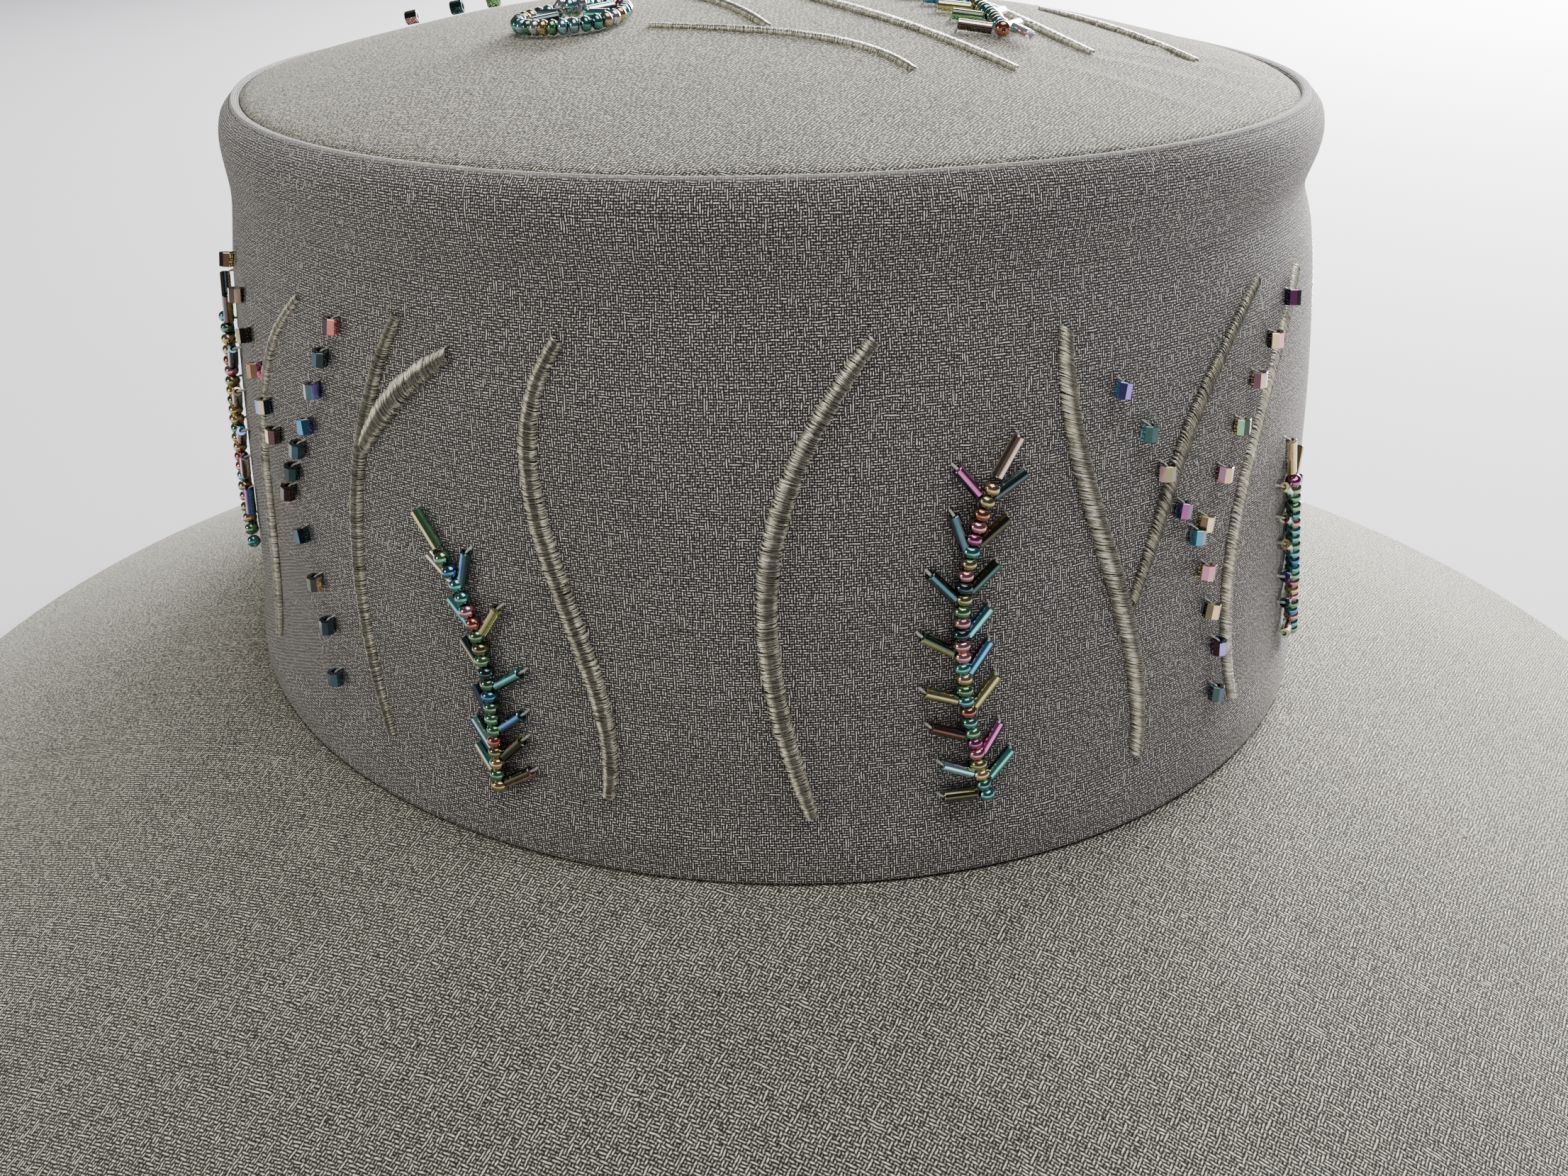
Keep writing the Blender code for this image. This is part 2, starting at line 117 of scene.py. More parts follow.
# Stems on the wall: height share at foot and head, angles of the route's four handles, share of STEM_WIDTH,
# and the stitches' turn from square to the stem towards its head, in degrees
STEM_ROWS = (
    ("stem_left_outer", 0.117, 0.777, -77.3, -70.4, -79.1, -61.5, 0.70, -8.0),
    ("stem_left_inner", 0.110, 0.792, -53.4, -57.4, -55.6, -47.8, 0.80, 8.0),
    ("stem_left_branch", 0.586, 0.752, -52.8, -50.6, -47.8, -42.3, 1.15, -18.0),
    ("stem_front_left", 0.120, 0.790, -30.0, -27.3, -41.1, -32.2, 1.00, -3.0),
    ("stem_front_middle", 0.107, 0.792, -12.3, -16.7, -18.9, -6.6, 1.05, 1.0),
    ("stem_front_right", 0.110, 0.782, 19.1, 20.4, 9.2, 10.2, 1.00, -30.0),
    ("stem_right_branch", 0.365, 0.785, 17.7, 21.4, 22.3, 33.6, 0.80, -34.0),
    ("stem_right_outer", 0.110, 0.770, 34.2, 28.0, 31.6, 42.7, 0.78, -32.0),
    ("stem_side_right", 0.110, 0.780, 66.0, 72.0, 60.0, 67.0, 0.90, 8.0),
    ("stem_back_right_outer", 0.115, 0.790, 98.0, 93.0, 106.0, 95.0, 1.00, -6.0),
    ("stem_back_right", 0.110, 0.785, 121.0, 125.0, 114.0, 119.0, 0.90, 12.0),
    ("stem_back_middle", 0.107, 0.792, 166.0, 170.0, 158.0, 164.0, 1.05, 2.0),
    ("stem_back_left", 0.112, 0.780, 191.0, 186.0, 198.0, 193.0, 0.90, 14.0),
    ("stem_back_left_outer", 0.110, 0.788, 230.0, 225.0, 236.0, 224.0, 1.00, -4.0),
    ("stem_side_left", 0.115, 0.775, 255.0, 259.0, 250.0, 257.0, 0.80, 6.0),
)

# Stems on the tip: foot and head as shares of the half width and half length at the seam, bow to the left
# near foot and head, share of STEM_WIDTH, and the stitches' turn
TIP_STEM_ROWS = (
    ("tip_stem_flower", -0.27, -0.29, 0.08, -0.66, 0.02, 0.13, 0.70, 30.0),
    ("tip_stem_long", 0.02, 0.16, 0.26, -0.66, -0.05, -0.02, 0.75, 35.0),
    ("tip_stem_leaf", 0.40, 0.10, 0.45, -0.55, 0.02, -0.04, 0.75, 35.0),
    ("tip_stem_side", 0.55, -0.12, 0.67, -0.51, 0.03, 0.01, 0.70, 30.0),
    ("tip_stem_middle", -0.16, 0.10, -0.08, -0.38, 0.03, 0.02, 0.65, 30.0),
)
STEM_WIDTH = 0.0022
STEM_HEIGHT = 0.0009
STEM_END_SHARE = 0.56
STEM_BLUNTNESS = 0.6

# Height of a stem as a share of STEM_HEIGHT, on the wall, where narrow stems are lower and none is over 1,
# and on the tip
WALL_STEM_RISE = 1.15
TIP_STEM_RISE = 0.42

# Stems painted lighter or darker than the others, as a share: painted light and painted shade for how much
# light each catches
STEM_PAINTED_LIGHT = {"stem_left_outer": 1.4, "stem_left_inner": 0.8, "stem_right_branch": 0.55}

# Arch of a stitch over its stem: share of the half width, share of the height
ARCH_ROWS = (
    (-1.00, -0.42),
    (-0.90, 0.40),
    (-0.58, 0.82),
    (0.00, 1.02),
    (0.58, 0.82),
    (0.90, 0.40),
    (1.00, -0.42),
)

# Painted light of a stitch: its tone along its middle, and the painted highlights that its left flank and
# right edge add
STITCH_SHADE = 0.55
LEFT_FLANK_PAINTED_HIGHLIGHT = 3.4
RIGHT_EDGE_PAINTED_HIGHLIGHT = 2.4

# Iris coats of the beads, by the letter that the bead orders use
IRIS = {
    "T": (0.08, 0.36, 0.36),
    "G": (0.15, 0.34, 0.20),
    "O": (0.27, 0.28, 0.10),
    "Y": (0.58, 0.46, 0.18),
    "P": (0.58, 0.25, 0.24),
    "M": (0.40, 0.08, 0.20),
    "B": (0.04, 0.16, 0.34),
    "V": (0.15, 0.09, 0.32),
    "D": (0.02, 0.06, 0.08),
    "S": (0.30, 0.55, 0.62),
    "C": (0.62, 0.50, 0.34),
    "K": (0.40, 0.17, 0.07),
    "W": (0.70, 0.70, 0.78),
}

# Sprays on the wall: height share at foot and head, angles of the route's four handles
SPRAY_ROWS = (
    ("bead_spray_left_side", 0.247, 0.650, -82.0, -89.0, -82.0, -87.0),
    ("bead_spray_front_left", 0.097, 0.465, -40.1, -40.4, -39.2, -44.2),
    ("bead_spray_front_right", 0.117, 0.592, 3.0, 0.5, -1.4, 3.1),
    ("bead_spray_right_side", 0.095, 0.435, 51.8, 48.2, 45.6, 43.3),
    ("bead_spray_side_back", 0.105, 0.500, 82.0, 85.0, 80.0, 84.0),
    ("bead_spray_back_right", 0.117, 0.560, 143.0, 140.5, 146.0, 142.0),
    ("bead_spray_back_left", 0.100, 0.480, 211.0, 208.0, 213.0, 209.0),
)

# Spray on the tip: foot and head as shares of the half width and half length at the seam, bow to the left
TIP_SPRAY = ("tip_bead_spray", 0.31, -0.49, 0.30, 0.08, -0.06)

# Ring of beads on the tip: its place, as shares like those above, its radius and how far it waves, how far
# in its short bugles lie, their share of a bugle's length, the radius of its heart's beads, and the coats
FLOWER_PLACE = (-0.385, -0.19)
FLOWER_RADIUS = 0.0078
FLOWER_WAVE = 0.0003
PETAL_INSET = 0.0034
PETAL_SHARE = 0.85
HEART_RADIUS = 0.0013
# Many of the ring's coats are pale: partly the beads' own colours, partly painted highlight for the light
# behind the hat
FLOWER_COATS = "TSGWYGSSTTCWYSTCPMYTSTSGWSGCY"
PETAL_COATS = "SCTWGS"
HEART_COATS = "WSWVW"

# Bugles charted one by one, from foot to head: share of the spine, tilt from the spine in degrees, coat
BUGLE_CHARTS = {
    "bead_spray_front_left": {
        -1: ((0.04, 34, "S"), (0.15, 35, "S"), (0.29, 25, "T"),
             (0.50, 30, "C"), (0.68, 28, "S"), (0.86, 24, "C")),
        1: ((0.02, 60, "O"), (0.13, 46, "O"), (0.26, 52, "B"),
            (0.45, 60, "T"), (0.66, 48, "O"), (0.85, 40, "D")),
        0: ((0.97, -3, "G"),),
    },
    "bead_spray_front_right": {
        -1: ((0.02, 72, "G"), (0.08, 52, "T"), (0.21, 56, "K"), (0.33, 60, "O"),
             (0.48, 54, "O"), (0.64, 46, "D"), (0.78, 30, "D"), (0.945, 60, "V")),
        1: ((0.05, 56, "T"), (0.13, 44, "M"), (0.29, 48, "O"), (0.40, 41, "B"),
            (0.52, 42, "T"), (0.66, 43, "G"), (0.80, 40, "O"), (0.94, 38, "T")),
        0: ((0.98, 8, "C"),),
    },
    "tip_bead_spray": {
        -1: ((0.03, 74, "C"), (0.18, 74, "G"), (0.33, 76, "O"),
             (0.48, 76, "V"), (0.63, 78, "T"), (0.78, 78, "D")),
        1: ((0.04, 30, "W"), (0.22, 30, "W"), (0.40, 32, "W"), (0.58, 32, "W"), (0.76, 34, "W")),
        0: ((0.97, 3, "C"),),
    },
}

# Bugles of the sprays without a chart: how many pairs, where a pair's left and right one start as shares of
# the pair's room, their tilt in degrees and how far it may stray, and the bugle at the head
BUGLE_PAIRS = {
    "bead_spray_left_side": 6,
    "bead_spray_right_side": 6,
    "bead_spray_side_back": 6,
    "bead_spray_back_right": 7,
    "bead_spray_back_left": 6,
}
LEFT_BUGLE_SHIFT = 0.35
RIGHT_BUGLE_SHIFT = 0.60
BUGLE_TILT = 46.0
BUGLE_STRAY = 9
HEAD_BUGLE = (0.97, 2.0, "C")

# Length of the bugle at a spray's head as a share of the others', and how far past the spine it starts
HEAD_BUGLE_SHARE = 1.18
HEAD_BUGLE_START = 0.0016

# Corners of the beads, how far their edges are rounded or broken, and the radius of their holes, which is a
# share of the diameter on a bugle or a cut bead
SEED_SIDES = 12
BUGLE_SIDES = 10
CUT_SIDES = 8
SEED_ROUNDING = 0.0007
CUT_ROUNDING = 0.00007
SEED_HOLE = 0.0003
CUT_HOLE_SHARE = 0.26

# Unevenness of the seed beads' stringing: step aside, lean, size
SEED_STEP = 0.00012
SEED_LEAN = 0.14
SEED_SWELL = (0.93, 1.06)

# Thread that leaves a bead's hole and dips into the cloth: width, depth of its end in the cloth, reach past
# a bugle and a cut bead, where it starts inside a bugle's end, and on a cut bead as a share of its length
BEADING_WIDTH = 0.0004
BEADING_DEPTH = 0.0004
BUGLE_THREAD_REACH = 0.0006
CUT_THREAD_REACH = 0.0005
BUGLE_THREAD_START = 0.0003
CUT_THREAD_START = 0.36

# Coats that show beside each coat on a bugle or a cut bead
COMPANIONS = {
    "T": "SGB", "G": "OTY", "O": "YGP", "Y": "CPO", "P": "YMC", "M": "PVK", "B": "DDV",
    "V": "BMD", "D": "BDD", "S": "TCB", "C": "SYP", "K": "YPM", "W": "SWC",
}

# Painted light on the bands of a bugle or a cut bead: shade of its painted dark reflections and painted
# highlights, and how many of them are dark
PAINTED_DARK_BAND = (0.06, 0.25)
PAINTED_HIGHLIGHT_BAND = (0.9, 2.0)
PAINTED_DARK_BAND_SHARE = 0.42

# Order of the seed beads from foot to head; a spray without an order draws from SEED_MIX
SEED_ORDERS = {
    "bead_spray_left_side": "TGYOPYSPKYYGYYOYOPKYYGT",
    "bead_spray_front_left": "YGYOKGGGBGDGOGKPTTBG",
    "bead_spray_front_right": "TTYOPMGTKTGYTPPDPGODPOTMPKOY",
    "tip_bead_spray": "KTTYTGTTYGYTSYPGTSYGTGSTYGTSG",
}
SEED_MIX = "TTTGGGOOYPPKDBM"
BUGLE_MIX = "TTSGOYCPBVDK"

# Single cut beads charted one by one from the top of each trail: angle, height share, coat
TRAIL_CHARTS = {
    "left_gold_trail": (
        (-82.2, 0.758, "Y"), (-76.6, 0.723, "C"), (-74.2, 0.668, "Y"), (-71.3, 0.625, "K"),
        (-69.6, 0.575, "S"), (-67.7, 0.537, "Y")),
    "left_dark_trail": (
        (-55.3, 0.757, "K"), (-57.1, 0.705, "D"), (-58.8, 0.649, "B"), (-60.6, 0.586, "B"),
        (-62.6, 0.540, "D"), (-64.3, 0.495, "D"), (-65.6, 0.455, "P"), (-63.8, 0.392, "B"),
        (-62.4, 0.320, "G"), (-61.0, 0.255, "B"), (-60.8, 0.165, "D")),
    "right_trail": (
        (15.2, 0.690, "B"), (18.2, 0.620, "T"), (20.3, 0.555, "O"), (22.6, 0.490, "V"),
        (24.7, 0.440, "T"), (26.5, 0.375, "P"), (27.7, 0.305, "O"), (29.4, 0.235, "V"),
        (29.6, 0.155, "T")),
    "right_gold_trail": (
        (39.7, 0.737, "V"), (36.0, 0.690, "Y"), (33.0, 0.642, "C"), (30.5, 0.582, "G"),
        (28.1, 0.520, "P"), (25.8, 0.455, "Y")),
}

# Trails of single cut beads round the back: height share at foot and head, angles of the route's four
# handles, order of the coats from foot to head
TRAIL_ROWS = (
    ("back_right_trail", 0.160, 0.720, 107.0, 112.0, 104.0, 109.0, "TOGPTYDG"),
    ("back_middle_trail", 0.250, 0.760, 155.0, 150.0, 156.0, 152.0, "YGOTVPGT"),
    ("back_left_trail", 0.160, 0.740, 241.0, 246.0, 239.0, 245.0, "BDTGPDOYG"),
)

# Clear bugle that lies alone on the tip: shares of the half width and half length at the seam, turn from the
# back towards the left in degrees, coat
TIP_CRYSTAL = (0.346, -0.487, 8.0, "V")

# Single cut beads at the far left of the tip: shares of the half width and half length at the seam, coat,
# and the direction in plan that their axes lie square to
TIP_BEADS = (
    (-0.62, 0.465, "O"),
    (-0.525, 0.44, "T"),
    (-0.45, 0.41, "G"),
)
TIP_BEAD_AIM = (0.3, 1.0, 0.0)

# Camera, from a fit of the seam, the foot line and the brim's far edge
CAMERA_PLACE = (-0.07335, -0.30634, 0.17270)
CAMERA_RIGHT = (0.96772, -0.25124, -0.02007)
CAMERA_UP = (0.12066, 0.39192, 0.91205)
CAMERA_LENS = 44.92
SENSOR_WIDTH = 36.0

# Lights: name, setting that holds the power, place, aim, size, colour
LIGHT_ROWS = (
    ("right_light", "right_power", (0.82, 0.72, 0.41), (0.0, 0.0, 0.06), 0.60, (1.0, 0.98, 0.97)),
    ("left_light", "left_power", (-0.95, -0.20, 0.34), (0.0, 0.0, 0.06), 0.16, (1.0, 1.0, 0.86)),
    ("top_light", "top_power", (0.12, -0.30, 1.05), (0.0, 0.0, 0.0), 0.80, (0.98, 0.98, 1.0)),
    ("back_light", "back_power", (0.45, 1.05, 0.46), (0.0, 0.0, 0.08), 0.80, (0.98, 0.98, 1.0)),
)

# Folded edge of the wall along the seam: where it starts, as a height share, its height, and the height
# share from which points belong to the seam itself
WELT_FOOT = 0.9950
WELT_HEIGHT = 0.00036
AT_SEAM = 0.9999

# Soft rolls of the wall: how far it stands out at the foot and over the neck, and draws in at the neck, more
# so towards +X, each with its height share and its breadth
FOOT_ROLL = (0.00045, 0.055, 0.028)
TOP_ROLL = (0.00015, 0.955, 0.025)
NECK_DEPTH = 0.0009
NECK_LEFT_DEPTH = 0.0006
NECK_PLACE = (0.862, 0.045)

# Height of the soft unevenness of each piece of cloth
WALL_WAVE = 0.0001
BRIM_WAVE = 0.00022
TIP_WAVE = 0.00008

# Folds of the tip's cloth: plan place at the low and the high end, height, width
TIP_FOLDS = (
    (0.030, -0.050, 0.058, -0.066, 0.00030, 0.0016),
    (0.036, -0.046, 0.068, -0.054, 0.00035, 0.0018),
    (0.042, -0.040, 0.074, -0.042, 0.00030, 0.0018),
    (0.024, -0.054, 0.044, -0.078, 0.00025, 0.0017),
    (0.046, -0.032, 0.076, -0.028, 0.00022, 0.0017),
)

# Rim of the tip's wall, a row for each ring from its upper face down: step inwards, drop
TIP_RIM_ROWS = (
    (0.0, 0.00004),
    (0.00015, 0.00022),
    (0.0004, 0.0006),
    (0.0004, 0.0012),
    (0.00055, CROWN_WALL),
)

# How far the edge of the tip's upper face dips towards the seam, and how much more towards +X
TIP_EDGE_DIP = 0.0002
TIP_LEFT_DIP = 0.0007

# Looks of the crepe on the side band, and lying flat on the brim and the tip: sheen, how fast a yarn's
# painted highlight on its top falls off into the painted shade between the yarns, and depth of the painted
# pebbled shade
BAND_LOOK = (0.20, 6.0, 0.9)
FLAT_LOOK = (0.12, 4.2, 1.1)

# How finely the cloth is divided, and the steps that slopes and directions are taken over
ROUND_STEPS = 256
TIP_RINGS = 112
TIP_UPPER_RINGS = 74
TURN_STEP = 0.5
RISE_STEP = 0.004
ROUTE_STEP = 0.01
PLAN_STEP = 0.0004
LIFT_STEP = 0.0005


def length_setting(name, description, default, low=0.0001):
    return FloatProperty(
        name=name, description=description, default=default, min=low, subtype="DISTANCE", unit="LENGTH",
        precision=5)


def colour_setting(name, description, default):
    return FloatVectorProperty(
        name=name, description=description, default=default, size=3, min=0.0, max=1.0, subtype="COLOR")


def power_setting(name, description, default):
    return FloatProperty(name=name, description=description, default=default, min=0.0, unit="POWER")


class HatClothSettings(bpy.types.PropertyGroup):
    """Sizes and colours of the wool crepe."""
    yarn_pitch: length_setting("Yarn Pitch", "Space between neighbouring yarns", 0.00034)
    yarn_relief: length_setting("Yarn Relief", "Height of a yarn over the gaps", 0.00012, 0.0)
    # The yarn's own warm tint, painted near white on its top as a painted highlight; the gap colour is
    # painted shade
    yarn_tint_and_painted_highlight: colour_setting("Yarn", "Colour of the top of a yarn", (1.0, 0.96, 0.88))
    gap_painted_shade_colour: colour_setting("Gap", "Colour between the yarns", (0.015, 0.010, 0.010))
    # The same painted highlight and painted shade on the brim and the tip
    plan_yarn_tint_and_painted_highlight: colour_setting(
        "Flat Yarn", "Colour of the top of a yarn on the brim and the tip", (0.98, 0.945, 0.76))
    plan_gap_painted_shade_colour: colour_setting(
        "Flat Gap", "Colour between the yarns on the brim and the tip", (0.012, 0.012, 0.008))
    plan_pitch_share: FloatProperty(
        name="Flat Pitch", description="Yarn pitch on the brim and the tip as a share of the band's",
        default=1.22, min=0.5)
    plan_grain: FloatProperty(
        name="Grain Turn", description="Turn of the grain on the brim and the tip",
        default=math.radians(42), subtype="ANGLE", unit="ROTATION")


class HatThreadSettings(bpy.types.PropertyGroup):
    """Sizes and colours of the satin stitches."""
    stitch_pitch: length_setting("Stitch Pitch", "Space from stitch to stitch along a stem", 0.00016)
    thread_width: length_setting("Thread Width", "Width of the embroidery thread", 0.00019)
    thread_colour: colour_setting("Thread", "Colour of the satin thread", (0.38, 0.36, 0.28))
    spread: FloatProperty(
        name="Spread", description="Width of the stitches as a share of their padding", default=1.12,
        min=0.5)


class HatBeadSettings(bpy.types.PropertyGroup):
    """Sizes of the beads."""
    seed_diameter: length_setting("Seed Diameter", "Diameter of a seed bead", 0.0023)
    seed_length: length_setting("Seed Length", "Length of a seed bead along its hole", 0.00152)
    bugle_diameter: length_setting("Bugle Diameter", "Diameter of a bugle over its corners", 0.0016)
    bugle_length: length_setting("Bugle Length", "Length of a bugle", 0.0047)
    cut_diameter: length_setting(
        "Cut Bead Diameter", "Diameter of a single cut bead over its corners", 0.0023)
    cut_length: length_setting("Cut Bead Length", "Length of a single cut bead", 0.0021)
    lift: length_setting("Lift", "Space between a bead and the cloth", 0.00025, 0.0)
    seed: IntProperty(
        name="Draw", description="Number that starts the random draws", default=7, min=0)


class HatStageSettings(bpy.types.PropertyGroup):
    """Floor and lights."""
    floor_colour: colour_setting("Floor", "Colour of the floor", (0.66, 0.645, 0.68))
    right_power: power_setting(
        "Right Light", "Power of the low light behind the hat at the right of view", 62.0)
    left_power: power_setting("Left Light", "Power of the soft light at the left of view", 2.4)
    top_power: power_setting("Top Light", "Power of the wide light above the hat", 10.5)
    back_power: power_setting("Back Light", "Power of the wide light behind the hat", 16.0)
    room_strength: FloatProperty(
        name="Room", description="Strength of the even light of the room", default=0.10, min=0.0)


def smooth_curve(rows):
    """A function that runs smoothly, and without overshoot, through a table's pairs of place and value."""
    place = np.array([row[0] for row in rows], float)
    value = np.array([row[1] for row in rows], float)
    run = np.diff(place)
    rise = np.diff(value) / run
    slope = [rise[0]]
    for before, after in zip(rise, rise[1:]):
        slope.append(2 * before * after / (before + after) if before * after > 0 else 0.0)
    slope = np.array(slope + [rise[-1]])

    def value_at(share):
        share = np.clip(share, place[0], place[-1])
        row = np.clip(np.searchsorted(place, share, side="right") - 1, 0, len(run) - 1)
        part = (share - place[row]) / run[row]
        rest = 1.0 - part
        return (value[row] * (1 + 2 * part) * rest ** 2 + slope[row] * run[row] * part * rest ** 2
                + value[row + 1] * (3 - 2 * part) * part ** 2 - slope[row + 1] * run[row] * rest * part ** 2)
    return value_at


wall_draw_in = smooth_curve(WALL_ROWS)
brim_fall = smooth_curve(BRIM_ROWS)


def bell(value, middle, breadth):
    """A soft swelling, 1 at its middle."""
    return np.exp(-((value - middle) / breadth) ** 2)


def unit(vectors):
    return vectors / np.linalg.norm(vectors, axis=-1, keepdims=True)


def oval(angle, half_width, half_length, fullness):
    """Places on an oval; a fullness of 2 is an ellipse, and more is squarer."""
    across = np.sin(np.radians(angle))
    along = -np.cos(np.radians(angle))
    swell = (np.abs(across) ** fullness + np.abs(along) ** fullness) ** (-1.0 / fullness)
    return half_width * across * swell, half_length * along * swell


def rake_at(x, y):
    """How far the seam's plane stands above its middle."""
    return -x * SEAM_LEFT_RISE / CROWN_HALF_WIDTH - y * SEAM_FRONT_RISE / CROWN_HALF_LENGTH


def wall_point(angle, share, out=0.0):
    """Points of the crown's outer wall, moved outwards by out."""
    angle, share, out = np.broadcast_arrays(angle, share, out)
    inset = CROWN_DRAW_IN * wall_draw_in(share) - out
    fullness = FOOT_FULLNESS + (SEAM_FULLNESS - FOOT_FULLNESS) * share
    x, y = oval(angle, CROWN_HALF_WIDTH - inset, CROWN_HALF_LENGTH - inset, fullness)
    return np.stack((x, y, WALL_FOOT + (CROWN_HEIGHT + rake_at(x, y)) * share), axis=-1)


def wall_normal(angle, share):
    """Directions outwards from the crown's wall."""
    along = wall_point(angle + TURN_STEP, share) - wall_point(angle - TURN_STEP, share)
    up = wall_point(angle, share + RISE_STEP) - wall_point(angle, share - RISE_STEP)
    return unit(np.cross(along, up))


def tip_share(x, y):
    """How far a place in plan lies from the middle of the tip, as a share of the way to the seam."""
    half_width = CROWN_HALF_WIDTH - CROWN_DRAW_IN
    half_length = CROWN_HALF_LENGTH - CROWN_DRAW_IN
    total = np.abs(x / half_width) ** SEAM_FULLNESS + np.abs(y / half_length) ** SEAM_FULLNESS
    return total ** (1.0 / SEAM_FULLNESS)


def tip_height(x, y):
    return WALL_FOOT + CROWN_HEIGHT + rake_at(x, y) + TIP_DOME * (1.0 - tip_share(x, y) ** 2)


def tip_normal(x, y):
    slope_x = (tip_height(x + PLAN_STEP, y) - tip_height(x - PLAN_STEP, y)) / (2 * PLAN_STEP)
    slope_y = (tip_height(x, y + PLAN_STEP) - tip_height(x, y - PLAN_STEP)) / (2 * PLAN_STEP)
    return unit(np.stack((-slope_x, -slope_y, np.ones_like(slope_x)), axis=-1))


def tip_place(across, along):
    """A place in plan from shares of the tip's half width and half length."""
    return across * (CROWN_HALF_WIDTH - CROWN_DRAW_IN), along * (CROWN_HALF_LENGTH - CROWN_DRAW_IN)


def curve_value(share, first, second, third, fourth):
    """A curve through its first and last handle, pulled towards the two between."""
    rest = 1.0 - share
    return (rest ** 3 * first + 3 * rest ** 2 * share * second
            + 3 * rest * share ** 2 * third + share ** 3 * fourth)


def wall_route(foot, head, handles):
    """A function from shares of the route and a height to points above the crown's wall."""
    def place(share, height):
        angle = curve_value(share, *handles)
        level = foot + (head - foot) * share
        return wall_point(angle, level) + wall_normal(angle, level) * height
    return place


def tip_route(foot, head, bow_low, bow_high):
    """The same above the tip, between two places in plan, with a bow to the left near foot and head."""
    run = np.subtract(head, foot)
    left = unit(np.array((-run[1], run[0])))
    handles = (
        np.array(foot),
        foot + run / 3 + left * bow_low,
        foot + run * 2 / 3 + left * bow_high,
        np.array(head),
    )

    def place(share, height):
        plan = curve_value(share[:, None], *handles)
        x, y = tip_place(plan[:, 0], plan[:, 1])
        return np.stack((x, y, tip_height(x, y)), axis=-1) + tip_normal(x, y) * height
    return place


def route_length(place):
    """Length of a route on the cloth."""
    points = place(np.linspace(0.0, 1.0, 60), 0.0)
    return float(np.linalg.norm(np.diff(points, axis=0), axis=1).sum())


def route_frames(place, shares, height):
    """Points, directions along, directions across and outward normals at shares of a route."""
    point = place(shares, height)
    along = unit(place(shares + ROUTE_STEP, height) - place(shares - ROUTE_STEP, height))
    normal = unit(place(shares, height + LIFT_STEP) - point)
    across = unit(np.cross(along, normal))
    return point, along, across, unit(np.cross(across, along))


def pick_only(piece):
    bpy.ops.object.select_all(action="DESELECT")
    piece.select_set(True)
    bpy.context.view_layer.objects.active = piece


def name_new(name):
    """Name the primitive that was added last, and leave it picked alone."""
    piece = bpy.context.object
    piece.name = name
    piece.data.name = name
    pick_only(piece)
    return piece


def pick_faces(piece, test):
    """In edit mode, pick the faces that pass a test."""
    bpy.ops.mesh.select_mode(type="FACE")
    shape = bmesh.from_edit_mesh(piece.data)
    for face in shape.faces:
        face.select_set(test(face))
    shape.select_flush_mode()
    bmesh.update_edit_mesh(piece.data)


def pick_edges(piece, test):
    """In edit mode, pick the edges that pass a test."""
    bpy.ops.mesh.select_mode(type="EDGE")
    shape = bmesh.from_edit_mesh(piece.data)
    for edge in shape.edges:
        edge.select_set(test(edge))
    shape.select_flush_mode()
    bmesh.update_edit_mesh(piece.data)


def get_points(piece):
    flat = np.empty(len(piece.data.vertices) * 3)
    piece.data.vertices.foreach_get("co", flat)
    return flat.reshape(-1, 3)


def set_points(piece, points):
    piece.data.vertices.foreach_set("co", points.reshape(-1))
    piece.data.update()


def apply_modifier(piece, kind, **settings):
    modifier = piece.modifiers.new(kind.title(), kind)
    for key, value in settings.items():
        setattr(modifier, key, value)
    bpy.ops.object.modifier_apply(modifier=modifier.name)


def finish_piece(piece, material):
    """Give a piece its material and its place in the frame."""
    piece.data.materials.clear()
    piece.data.materials.append(material)
    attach(piece, "root")


def stack_copies(piece, count):
    """Copy a piece in place, so that its copies can be laid one by one."""
    pick_only(piece)
    apply_modifier(
        piece, "ARRAY", count=count, use_relative_offset=False, use_constant_offset=True,
        constant_offset_displace=(0.0, 0.0, 0.0))


def join_pieces(pieces, name):
    pick_only(pieces[0])
    for piece in pieces[1:]:
        piece.select_set(True)
    bpy.ops.object.join()
    joined = bpy.context.object
    joined.name = name
    joined.data.name = name
    return joined


